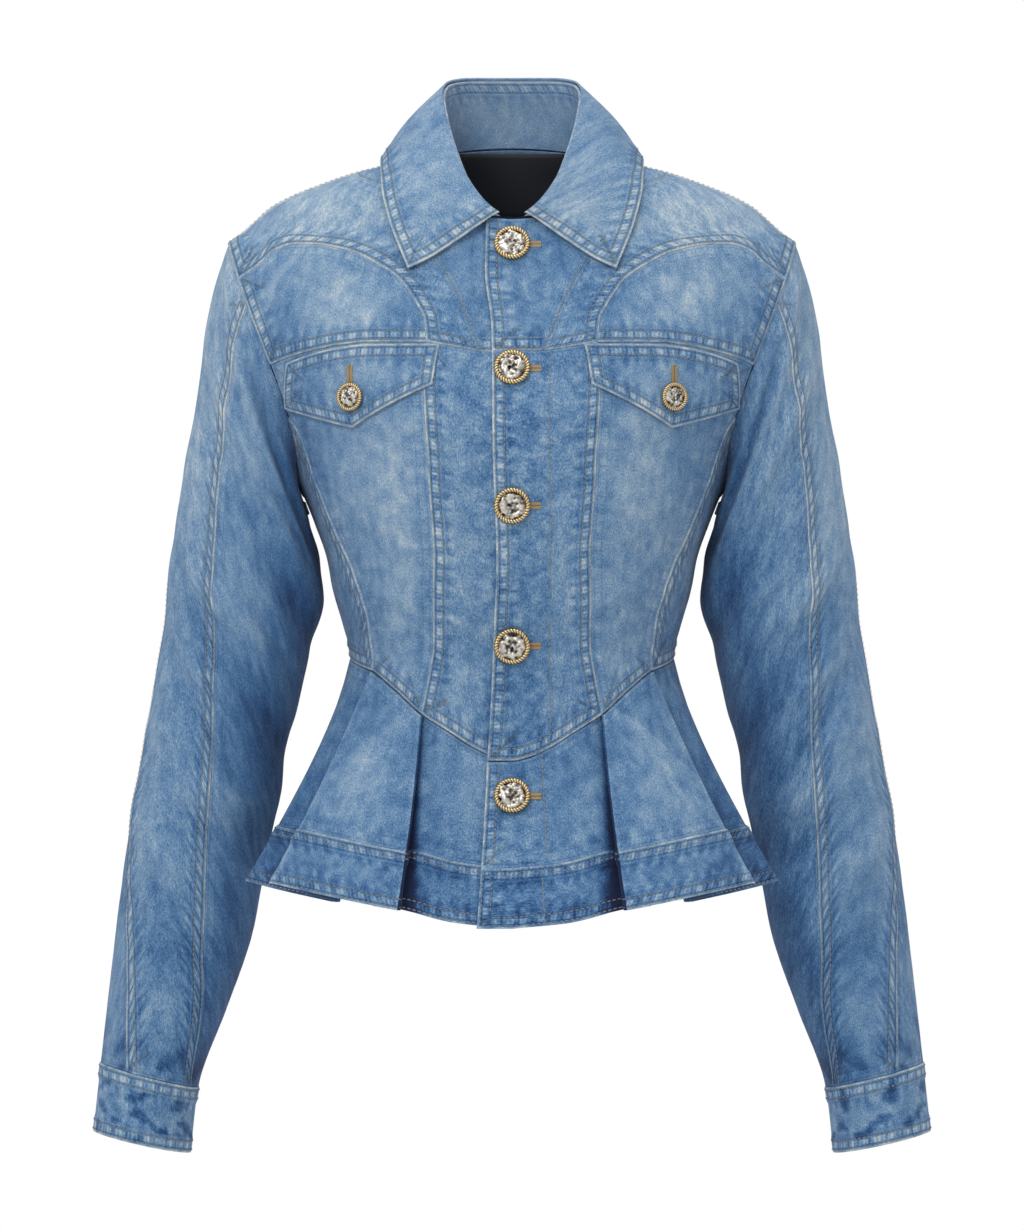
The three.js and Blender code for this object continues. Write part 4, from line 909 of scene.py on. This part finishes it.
def tube(name, node, rings, start, end, kinds, side, tone, thickness=CLOTH, closed=False, **more):
    length = 49 * (rings[1] - rings[0])
    width = 280 if closed else 150
    vs, us = spread(length), spread(width)
    if closed:
        us = np.arange(90) / 90
    ring = rings[0] + (rings[1] - rings[0]) * vs[:, None] * np.ones(len(us))
    a, b = np.radians(start(ring)), np.radians(end(ring))
    turn = a + (b - a) * us
    normals = sleeve_normal(ring, turn)
    rise = fold_height(ring, turn, SLEEVE_FOLDS + SMALL_FOLDS)
    points = ring_point(ring, turn) + normals * rise[..., None]
    lean = unit(np.array([ARM_REACH[1], 0, -ARM_REACH[0]]))
    points = points + lean * (SLEEVE_HEAD * np.maximum(1 - ring / 0.1, 0))[..., None]
    degrees = np.degrees(turn)
    # Painted shading of the sleeve: a painted highlight on the outer front of the upper sleeve, painted shade on the
    # inner side towards the body and on a narrow strip of the inner front, paler fold tops and darker fold hollows, and
    # a little darker towards the cuff. The blotches on the cuff and just above it are the wash's own fading
    shade = 0.43 + 0.2 * np.exp(-((degrees - 20) / 45) ** 2) * (1 - 0.6 * step(3, 8, ring))
    shade = shade - 0.3 * np.exp(-((degrees - 172) / 42) ** 2) - 0.12 * np.exp(-((degrees - 128) / 14) ** 2)
    shade = shade + 0.03 * rise - 0.03 * step(5, 10, ring)
    if closed:
        spots = blotches(degrees * 0.7 + 40 * side, ring * 60, 26)
        shade = shade + 0.12 + 0.12 * spots - 0.5 * step(0.25, 0.75, spots)
    else:
        cuff_near = step(11.3, 11.95, ring)
        shade = shade - 0.34 * cuff_near * step(0.0, 0.7, blotches(degrees * 0.8, ring * 46, 24))
    flip = np.array([side, 1, 1])
    normals = cross_normals(points, closed)
    away = (normals * sleeve_normal(ring, turn)).sum(-1)
    normals = normals * np.sign(away)[..., None]
    return cloth_piece(name, (node,), points * flip, normals * flip, kinds, shade, thickness, closed,
                       group=more.get("group", "sleeves"), tone=tone, rows=more.get("rows"), upright=False)


for side, tag in ((1, "l"), (-1, "r")):
    tube("sleeve_outer_" + tag, "sleeve_top_" + tag, (0, CUFF_RING - 0.006), back_seam_turn, front_seam_turn,
         {"top": "under", "bottom": "under", "left": "top", "right": "top"}, side, 0.4 + 0.03 * side)
    tube("sleeve_inner_" + tag, "sleeve_under_" + tag, (0, CUFF_RING - 0.006), front_seam_turn,
         lambda ring: back_seam_turn(ring) + 360,
         {"top": "under", "bottom": "under", "left": "under", "right": "under"}, side, 0.5 + 0.03 * side)
    tube("turned_cuff_" + tag, "cuff_" + tag, (CUFF_RING, LAST_RING), lambda ring: 0 * ring + 300,
         lambda ring: 0 * ring + 660, {"top": "top", "bottom": "edge"}, side, 0.6 + 0.03 * side, CUFF_CLOTH, True)

# Collar: a stand on the neckline and a leaf folded over it
COLLAR_CLOTH = 1.4
roll_rows = np.array([
    [0, 9, -79, -31], [0.08, 14.5, -76.5, -27], [0.3, 31.3, -62, -5.1], [0.42, 40.5, -45, 17.3],
    [0.5, 46.8, -25, 38.9], [0.6, 50.1, 0, 58], [0.75, 47.3, 28, 68.3], [0.88, 31, 50, 73], [1, 0, 58, 73.6]])
leaf_rows = np.array([
    [0, 73.5, -87, -71], [0.2, 87, -70, -36], [0.36, 92.5, -54, -12], [0.6, 94, 4, 11.5],
    [0.75, 80, 45, 12.5], [0.88, 46, 69, 13], [1, 0, 75, 13]])
leaf_front = np.array([
    [0, 9, -79, -31], [0.25, 19, -78, -38.3], [0.5, 38.6, -82.5, -52.5], [0.75, 58, -85, -64.5],
    [1, 73.5, -87, -71]])


def path_of(rows):
    curves = [Smooth(rows[:, [0, k]]) for k in (1, 2, 3)]
    return lambda share: np.stack([curve(share) for curve in curves], -1)


roll_path, leaf_path, leaf_front_path = path_of(roll_rows), path_of(leaf_rows), path_of(leaf_front)


def outward_at(share):
    e = 0.02
    run = roll_path(np.minimum(share + e, 1)) - roll_path(np.maximum(share - e, 0))
    out = unit(np.stack([run[..., 1], -run[..., 0], 0 * share], -1))
    return np.where((share > 0.999)[..., None], np.array([0.0, 1, 0]), out)


def stand_point(share, v):
    angle = 0.17 + (PI - 0.17) * share ** 0.8
    foot = skin(angle, neck_height(angle)) + [0, 0, 1.1]
    top = roll_path(share) - [0, 0, COLLAR_CLOTH + 1.4]
    swell = 2.2 * np.sin(PI * v) * share - v
    return foot * (1 - v)[..., None] + top * v[..., None] + outward_at(share) * swell[..., None]


def leaf_point(share, v):
    front = np.exp(-share / 0.07)[..., None]
    level = v[..., None]
    plain = roll_path(share) * (1 - level) + leaf_path(share) * level
    ends = leaf_front_path(0 * v) * (1 - level) + leaf_front_path(0 * v + 1) * level
    plain = plain + (leaf_front_path(v) - ends) * front
    bulge = np.sin(PI * v) * (1 - v * 0.4)
    plain = plain + outward_at(share) * (bulge * 6 * np.minimum(share * 3, 1))[..., None]
    plain[..., 2] += bulge * 2
    z = np.minimum(plain[..., 2], 8)
    floor = skin(angle_at(plain[..., 0], z), z)[..., 1] - 2.6 - COLLAR_CLOTH
    low = (plain[..., 1] < -20) & (plain[..., 2] < 8) & (plain[..., 1] > floor)
    plain[..., 1] = np.where(low, floor, plain[..., 1])
    return plain


def collar_piece(name, node, point, height, kinds, tone):
    half = spread(2 * 190)
    signed = 1 - 2 * half
    v = spread(height)[:, None] * np.ones(len(half))
    share = np.clip(1 - np.abs(signed), 0, 1)[None] * np.ones(v.shape)
    points = point(share, v)
    points[..., 0] *= np.where(signed > 0, -1, 1)
    normals = cross_normals(points)
    out = outward_at(share)
    out[..., 0] *= np.where(signed > 0, -1, 1)
    turned = np.sign(np.median((normals * (out + [0, 0, 0.5])).sum(-1)))
    normals = normals * (turned if turned else 1)
    wash_and_painted_shading = np.full(v.shape, 0.56) + 0.05 * np.sin(share * 9)
    return cloth_piece(name, (node,), points, normals, kinds, wash_and_painted_shading, COLLAR_CLOTH, group="collar", tone=tone,
                       upright=False)


collar_piece("collar_band", "collar_stand", stand_point, 60, {"bottom": "top", "left": "under", "right": "under"}, 0.7)
collar_piece("collar_fall", "collar_leaf", leaf_point, 80, {"bottom": "edge", "left": "edge", "right": "edge"}, 0.74)

# Neck label, plain black
label_z = float(neck_height(PI)) - 2 - np.linspace(0, 44, 14)[:, None] * np.ones(26)
label_angle = angle_at(np.linspace(39, -39, 26)[None] * np.ones(label_z.shape), label_z, True)
label_normal = skin_normal(label_angle, label_z)
label_points = skin(label_angle, label_z) - label_normal * (CLOTH + 1.5)
label = shell("black_label", label_points, label_points - label_normal * 0.8, {})
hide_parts("neck_label")
label.data.materials.append(label_cloth)
cloth_sizes(label_points)[:2]
cloth_sizes(label_points)[2]

# Peplum: a flared skirt whose pleats fold behind themselves, as the CAD part has it
FRONT_LEGS = [
    [[0, -148, -533, 0, 0], [40, -147, -529, 30, 0], [70, -142, -521.5, 50, -0.6],
     [84, -137, -518.5, 62, -2.6], [95, -132, -517, 68, -2.6]],
    [[93, -135, -518, 68, -0.4], [80, -147, -520, 63.5, -0.4]],
    [[80, -152, -520, 63.5, 1.8], [100, -152, -516, 71, 1.8], [125, -146, -511, 80, 1.8],
     [150, -133, -506, 89, 1.8], [168, -119, -502.5, 97, 1.8]],
    [[166, -114, -503, 97, -0.4], [124, -107, -516, 91, -0.4]],
    [[126, -102, -516, 91, -2.6], [152, -86, -511, 98, -2.2], [176, -66, -506, 105, -1.2],
     [188, -55, -503, 109, -0.6], [184, -42, -503, 112, -0.2], [174, -22, -504, 114.5, 0]],
]
BACK_LEGS = [
    [[166, 2, -505, 115.4, 0], [160, 30, -506, 111, -0.5], [150, 58, -506, 101, -1.5],
     [128, 84, -506, 86, -2.6]],
    [[126, 90, -506, 86, -0.4], [160, 92, -506, 93, -0.4]],
    [[160, 97, -506, 93, 1.8], [130, 116, -506, 82, 1.8], [84, 132, -506, 62, 1.8]],
    [[84, 127, -506, 62, -0.4], [102, 116, -506, 69, -0.4]],
    [[100, 111, -506, 69, -2.6], [80, 118, -506, 60, -2.2], [44, 129, -506, 34, 0], [0, 132, -506, 0, 0]],
]
FOLD_STEPS = 6
SKIRT_SAG = 3
BAND_CLOTH = 2.2
waist_turn = waist_front(97)


def waist_spot(x, back):
    if back:
        return np.stack([angle_at(x, 0 * x + WAIST_BACK, True), 0 * x + WAIST_BACK], -1)
    angle = angle_at(x, 0 * x + WAIST_BACK)
    share = np.clip((angle - waist_turn[0]) / (side_waist[0] - waist_turn[0]), 0, 1)
    beyond = np.stack([np.maximum(angle, waist_turn[0]), waist_turn[1] + (WAIST_BACK - waist_turn[1]) * share], -1)
    return np.where((x <= 97)[..., None], waist_front(np.minimum(x, 97)), beyond)


def leg_points(rows, count, back):
    rows = np.array(rows, float)
    keys = np.arange(len(rows))
    s = np.linspace(0, len(rows) - 1, count + 1)
    hem_x, hem_y, hem_z, waist_x, lift = (Smooth(np.stack([keys, rows[:, k]], 1))(s) for k in range(5))
    spot = waist_spot(waist_x, back)
    normal = skin_normal(spot[:, 0], spot[:, 1]) * [1, 1, 0]
    waist = skin(spot[:, 0], spot[:, 1]) + unit(normal) * lift[:, None]
    return waist, np.stack([hem_x, hem_y, hem_z], -1)


def fold_between(before, after):
    """Half-round fold from the end of one leg to the start of the next."""
    way = unit((before[-1] - before[-2]) * [1, 1, 0])
    across = after[0] - before[-1]
    turn = PI * np.arange(1, FOLD_STEPS)[:, None] / FOLD_STEPS
    radius = math.hypot(across[0], across[1]) / 2
    centre = (before[-1] + after[0]) / 2
    return centre - across * np.cos(turn) / 2 + way * np.sin(turn) * radius


def skirt_line(legs, counts, back):
    parts = [leg_points(rows, count, back) for rows, count in zip(legs, counts)]
    line = [list(parts[0])]
    for before, after in zip(parts, parts[1:]):
        line.append([fold_between(before[k], after[k]) for k in (0, 1)])
        line.append(list(after))
    return [np.concatenate([part[k] for part in line]) for k in (0, 1)]


def with_edge(line, side):
    x = float(front_edge(side, -480))
    shares = np.array([0, 0.7, 2.2, 4, 6.5, 9, 10.5, 12, 14.5, 17.5, 20.5])
    ends = (float(upper_edge(-417)), float(upper_edge(-535))) if side > 0 else (x, x)
    made = []
    for k, to in enumerate(ends):
        first, second = line[k][0], line[k][1]
        slope = (second - first) / (second[0] - first[0])
        edge = first + slope * (to - first[0])
        edge[2] = first[2]
        edge[1] = first[1] if k else edge[1]
        edge[2] += 2.5 if k and side < 0 else 0
        share = (shares[shares < abs(x)] / abs(x))[:, None]
        made.append(np.concatenate([edge * (1 - share) + first * share, line[k]]))
    return made


def pleat_shade(counts, start):
    """Painted shade of each column of the front skirt: dark in the folds, pale on their edges."""
    centre, inward, face, outward, side = (np.arange(count + 1) for count in counts)
    steps = np.zeros(FOLD_STEPS - 1)
    return np.concatenate([
        np.zeros(start), centre * 0, steps - 1.1, inward * 0 - 1.0,
        steps + 0.1, 0.28 * np.exp(-face / 1.2) + 0.24 * np.exp(-(face[-1] - face) / 1.2) - 0.12, steps + 0.1,
        outward * 0 - 0.9, steps - 0.95, -0.75 * np.exp(-side / 12.0)])


def skirt_piece(name, node, line, level_at, kinds, thickness, side, drop, tone, group, shade=None,
                face_start=0):
    waist, hem = line
    length = np.linalg.norm(hem - waist, axis=1)
    v = level_at(length)
    points = waist[None] * (1 - v[..., None]) + hem[None] * v[..., None]
    out = unit(points * [1, 1, 0])
    points = points - out * (np.sin(PI * v) * SKIRT_SAG)[..., None]
    if drop:
        points[..., 1] -= 1.4 * lap_drop(-1, points[..., 0] - 8)
    run = unit(np.gradient(points, axis=1) * [1, 1, 0])
    normals = np.stack([run[..., 1], -run[..., 0], 0 * v], -1)
    points = points + normals * ((thickness - PEPLUM_CLOTH) / 2)
    flip = np.array([side, 1, 1])
    wash_and_painted_shading = wash_and_painted_shading_at(points * flip) + 0.12 * step(40, 90, points[..., 0]) * (points[..., 1] < -90) - 0.04
    # Painted shade of the pleats, stronger towards the hem, and a painted shadow in the recess beside the inner edge of
    # each pleat face, wider and darker towards the hem
    if shade is not None:
        wash_and_painted_shading = wash_and_painted_shading + shade[None] * (0.25 + 0.75 * v) - (0.07 if name.startswith("hem") else 0.02)
        first = len(shade) - face_start
        fold = points[:, first:first + 1, 0]
        painted_recess_shadow = step(fold - 5 - 20 * v ** 2, fold - 1, points[..., 0]) ** 1.4
        painted_recess_shadow[:, first:] = 0
        wash_and_painted_shading = wash_and_painted_shading - painted_recess_shadow * (0.25 + 1.1 * v)
    if name in ("skirt_front_l", "hem_front_l"):
        column = int(np.argmin(np.abs(points[0, :, 0] - 21)))
        stitch("facing", points[:, column] + normals[:, column] * 0.3, normals[:, column])
    return cloth_piece(name, (node,), points * flip, normals * flip, kinds, wash_and_painted_shading, thickness, group=group, tone=tone,
                       rows={"top": (2.0, 6.0), "left": (1.8, 8.4), "right": (1.8, 8.4)}, held="gathered")


def skirt_levels(gap):
    shares = spread(110)[:, None]

    def level(length):
        top = gap / length
        return top + (1 - HEM_BAND / length - top) * shares
    return level


def band_level(length):
    return 1 - HEM_BAND * (1 - spread(HEM_BAND)[:, None]) / length


for side, tag in ((1, "l"), (-1, "r")):
    counts = (36, 6, 34, 14, 36)
    plain_line = skirt_line(FRONT_LEGS, counts, False)
    line = with_edge(plain_line, side)
    shade = pleat_shade(counts, len(line[0]) - len(plain_line[0]))
    face_start = sum(counts[2:]) + 3 + 2 * (FOLD_STEPS - 1)
    edge = {"left": "edge"} if side > 0 else {}
    skirt_piece("skirt_front_" + tag, "peplum_front_" + tag, line, skirt_levels(1.1),
                {**edge, "top": "under", "bottom": "under"}, PEPLUM_CLOTH, side, side < 0, 0.8 + 0.02 * side, "skirt", shade, face_start)
    skirt_piece("hem_front_" + tag, "hem_band_front_" + tag, line, band_level,
                {**edge, "top": "top", "bottom": "edge"}, BAND_CLOTH, side, side < 0, 0.84 + 0.02 * side, "skirt", shade, face_start)
half = skirt_line(BACK_LEGS, (24, 10, 30, 6, 30), True)
whole = [np.concatenate([part, part[-2::-1] * [-1, 1, 1]]) for part in half]
skirt_piece("skirt_back", "peplum_back", whole, skirt_levels(0.7), {"top": "under", "bottom": "under"},
            PEPLUM_CLOTH, 1, False, 0.9, "skirt")
skirt_piece("hem_back", "hem_band_back", whole, band_level, {"top": "top", "bottom": "edge"},
            BAND_CLOTH, 1, False, 0.92, "skirt")


# The inner edge of the left facing shows as one row of stitches, on the bodice and on the skirt
def on_front(x, z, lift):
    spot = seen(x, z)
    return skin(spot[..., 0], spot[..., 1]) + skin_normal(spot[..., 0], spot[..., 1]) * lift, \
        skin_normal(spot[..., 0], spot[..., 1])


facing_z = np.linspace(-134, -402, 120)
for rise in (2.2, 8.6):
    for start, end in ((-11.5, 22), (-22, -16)):
        level_x = np.linspace(start, end, 40)
        level_z = -129.6 + rise + 0 * level_x
        stitch("facing", *on_front(level_x, level_z, 0.2 if start > -20 else -0.6))
stitch("facing", *on_front(26.5 + 0.4 * np.sin(facing_z / 23), facing_z, 0.1))


# The lowest button sits on the skirt, square to its slope
BUTTON_LIFT = 0.4
skirt_top, skirt_hem = skin(0, waist_line(0)), np.array(FRONT_LEGS[0][0][:3], float)
skirt_share = (BUTTON_HEIGHTS[-1] - skirt_top[2]) / (skirt_hem[2] - skirt_top[2])
skirt_slope = unit(skirt_hem - skirt_top)
skirt_normal = np.array([0, skirt_slope[2], -skirt_slope[1]])
skirt_spot = skirt_top + (skirt_hem - skirt_top) * skirt_share + skirt_normal * 2.3 * BUTTON_LIFT
skirt_spot[1] += SKIRT_SAG * math.sin(PI * skirt_share)

# Buttonholes: tight bars of gold thread round a slit
buttonhole_lines = []


def buttonhole(centre, way, normal, length):
    across = unit(np.cross(normal, way))
    for k in np.arange(-1, 1.01, 2 * 0.55 / length):
        ends = np.array([centre + way * k * length / 2 + across * w for w in (0.3, 2.3)])
        for mirror in (1, -1):
            bar = centre + way * k * length / 2 + (ends - centre - way * k * length / 2) * mirror
            buttonhole_lines.append((bar + normal * 0.25, np.array([normal, normal])))
    for w in (-0.8, 0.0, 0.8):
        tip = centre + way * (length / 2 + 0.4) + across * w
        buttonhole_lines.append((np.array([tip - across, tip + across]) + normal * 0.4, np.array([normal] * 2)))


for z in BUTTON_HEIGHTS[:-1]:
    place, normal = on_front(np.array(13.5), np.array(float(z)), 0.0)
    buttonhole(place, unit(np.cross([0, 0, 1], normal)) * -1, normal, 13)
buttonhole(skirt_spot + np.array([13.5, 0.4, 0]), np.array([1.0, 0, 0]), skirt_normal, 13)
for side in (1, -1):
    place, normal = on_front(np.array(112.5), np.array(-149.0), CLOTH + 0.9)
    flip = np.array([side, 1, 1])
    down = unit(np.cross(normal, [1, 0, 0]))
    buttonhole(place * flip, down * flip, normal * flip, 16)


# Stitches: short slivers of thread along every recorded row
STITCH_LENGTH, STITCH_GAP, THREAD = 2.9, 1.0, 0.42


def make_stitches(group, lines, material):
    verts, faces = [], []
    for points, normals in lines:
        gaps = np.linalg.norm(np.diff(points, axis=0), axis=1)
        s = np.concatenate([[0], np.cumsum(gaps)])
        pitch = STITCH_LENGTH + STITCH_GAP
        starts = np.arange(0.5, s[-1] - STITCH_LENGTH, pitch)
        if not len(starts):
            continue

        def at(place, values=points, keys=s):
            return np.stack([np.interp(place, keys, values[:, k]) for k in range(3)], -1)

        a, b = at(starts), at(starts + STITCH_LENGTH)
        n = unit(at(starts + STITCH_LENGTH / 2, normals))
        side = unit(np.cross(b - a, n))
        rows = []
        for share, size in ((0.0, 0.35), (0.3, 1.0), (0.7, 1.0), (1.0, 0.35)):
            centre = a * (1 - share) + b * share + n * (0.12 + 0.24 * size)
            rows += [centre - side * THREAD * size, centre + n * THREAD * 0.5 * size, centre + side * THREAD * size]
        block = np.stack(rows, 1).reshape(-1, 3)
        base = len(verts) and sum(len(v) for v in verts)
        quads = np.array([[i * 3 + k, i * 3 + k + 1, i * 3 + k + 4, i * 3 + k + 3] for i in range(3) for k in range(2)])
        verts.append(block)
        faces.append((quads[None] + 12 * np.arange(len(starts))[:, None, None]).reshape(-1, 4) + base)
    item = mesh_object("stitches_" + group, np.concatenate(verts), np.concatenate(faces).tolist())
    item.data.materials.append(material)


for group, lines in stitch_lines.items():
    make_stitches(group, lines, grey_thread)


def make_bars(lines):
    """Short straight threads, each a little ridge."""
    verts, faces = [], []
    for i, (ends, normals) in enumerate(lines):
        run = ends[1] - ends[0]
        side = unit(np.cross(run, normals[0])) * 0.32
        up = normals[0] * 0.35
        block = [ends[0] - side, ends[0] + up, ends[0] + side, ends[1] - side, ends[1] + up, ends[1] + side]
        verts += block
        faces += [[i * 6 + a for a in quad] for quad in ((0, 1, 4, 3), (1, 2, 5, 4))]
    item = mesh_object("buttonhole_thread", verts, faces)
    item.data.materials.append(gold_thread)


make_bars(buttonhole_lines)


# Buttons: a twisted rope rim round a hammered dome
def button(name, radius, place, normal, seed):
    random = np.random.default_rng(seed)
    turn = np.linspace(0, 2 * PI, 204, endpoint=False)
    around = np.linspace(0, 2 * PI, 14, endpoint=False)
    tube_size = 0.1 * radius + 0.35
    ring = radius - tube_size
    a, b = np.meshgrid(turn, around, indexing="ij")
    bead = np.abs(np.cos(17 * a + b))
    twist = 0.8 + 0.32 * bead
    r = ring + tube_size * twist * np.cos(b)
    rope = np.stack([r * np.cos(a), r * np.sin(a), 2.1 + tube_size * 1.15 * twist * np.sin(b)], -1)
    size = len(around)
    i, j = np.meshgrid(np.arange(len(turn)), np.arange(size), indexing="ij")
    k, n = (i + 1) % len(turn), (j + 1) % size
    rope_faces = np.stack([i * size + j, k * size + j, k * size + n, i * size + n], -1).reshape(-1, 4)
    reach = np.concatenate([[1, 1], np.linspace(0.99, 0.02, 22)]) * ring
    rho, phi = np.meshgrid(reach, np.linspace(0, 2 * PI, 60, endpoint=False), indexing="ij")
    height = 1.7 + 2.0 * np.sqrt(np.clip(1 - (rho / ring) ** 2, 0, 1))
    x, y = rho * np.cos(phi), rho * np.sin(phi)
    hammered = 0.25 * np.cos(9 * rho / ring + 1.2)
    for _ in range(170):
        cx, cy = random.uniform(-0.9 * ring, 0.9 * ring, 2)
        size_of = random.uniform(0.05, 0.1) * ring
        sign = random.choice((-0.5, 0.55))
        hammered = hammered + sign * np.exp(-((x - cx) ** 2 + (y - cy) ** 2) / size_of ** 2)
    height = height + hammered
    bright = [np.ravel(step(0.25, 0.95, bead)), np.ravel(step(-0.55, 0.6, hammered))]
    height[0] = 0.2
    dome = np.stack([x, y, height], -1)
    dome_faces = [tuple(face) for face in grid_quads(len(reach), 60, len(turn) * size, False, True)]
    dome_faces.append(tuple(len(turn) * size + (len(reach) - 1) * 60 + np.arange(60)))
    dome_faces.append(tuple(len(turn) * size + np.arange(60)[::-1]))
    verts = np.concatenate([rope.reshape(-1, 3), dome.reshape(-1, 3)])
    matrix = np.array(Vector((0, 0, 1)).rotation_difference(Vector(normal)).to_matrix())
    verts = verts @ matrix.T + place
    faces = [tuple(int(v) for v in face) for face in list(rope_faces) + dome_faces]
    item = mesh_object(name + "_metal", verts, faces, {"height": ("FLOAT", np.concatenate(bright))})
    item.data.materials.append(gold_metal)
    item.data.materials.append(silver_metal)
    marks = np.zeros(len(item.data.polygons), dtype=np.int32)
    marks[len(rope_faces):] = 1
    item.data.polygons.foreach_set("material_index", marks)
    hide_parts(name)


def bodice_button(name, radius, x, z, side, lift, seed):
    angle, height = seen(x, z)
    normal, middle = skin_normal(angle, height), skin(angle, height)
    hollow = max(0, *(float((skin(angle, height + rise) - middle) @ normal) for rise in (-radius, radius)))
    flip = np.array([side, 1, 1])
    button(name, radius, (middle + normal * (hollow + lift)) * flip, normal * flip, seed)


for i, z in enumerate(BUTTON_HEIGHTS[:-1]):
    bodice_button("button_%d" % (i + 1), BUTTON_RADIUS, 0, z, 1, BUTTON_LIFT, i)
for side, tag in ((1, "l"), (-1, "r")):
    radius, x, z = POCKET_BUTTON
    bodice_button("button_pocket_" + tag, radius, x, z, side, CLOTH + 0.9 + BUTTON_LIFT, 9 + side)
button("button_5", BUTTON_RADIUS, skirt_spot, skirt_normal, 5)


# Floor, light and camera
def stage_plane(name, size, place, turn):
    bpy.ops.mesh.primitive_plane_add(size=size, location=place, rotation=turn)
    plane = bpy.context.object
    plane.name = name
    plane.data.materials.append(plain_material(name + "_paper", (0.92, 0.92, 0.92, 1), 1.0))


stage_plane("floor", 3.6, (0, 0, -1.1), (0, 0, 0))
world = bpy.data.worlds.new("white_room")
bpy.context.scene.world = world
world.use_nodes = True
world.node_tree.nodes["Background"].inputs["Color"].default_value = (1, 1, 1, 1)
world.node_tree.nodes["Background"].inputs["Strength"].default_value = 1.0


def soft_light(name, place, target, size, power):
    data = bpy.data.lights.new(name, "AREA")
    data.size = size
    data.energy = power
    lamp = bpy.data.objects.new(name, data)
    lamp.location = place
    lamp.rotation_euler = (Vector(target) - Vector(place)).to_track_quat("-Z", "Y").to_euler()
    bpy.context.scene.collection.objects.link(lamp)


soft_light("key", (-1.2, -2.2, 1.6), (0, 0, -0.3), 0.9, 38)
soft_light("top", (0.5, -0.6, 2.4), (0, 0, -0.3), 1.2, 18)

camera_data = bpy.data.cameras.new("photo_camera")
camera_data.sensor_fit = "VERTICAL"
camera_data.sensor_height = SENSOR
camera_data.lens = SENSOR * VIEW_PLANE / IMAGE_HEIGHT_MM
camera = bpy.data.objects.new("photo_camera", camera_data)
camera.location = (0, -VIEW_DISTANCE * MM, VIEW_HEIGHT * MM)
camera.rotation_euler = (PI / 2, 0, 0)
bpy.context.scene.collection.objects.link(camera)
bpy.context.scene.camera = camera
bpy.context.scene.view_settings.view_transform = "Standard"
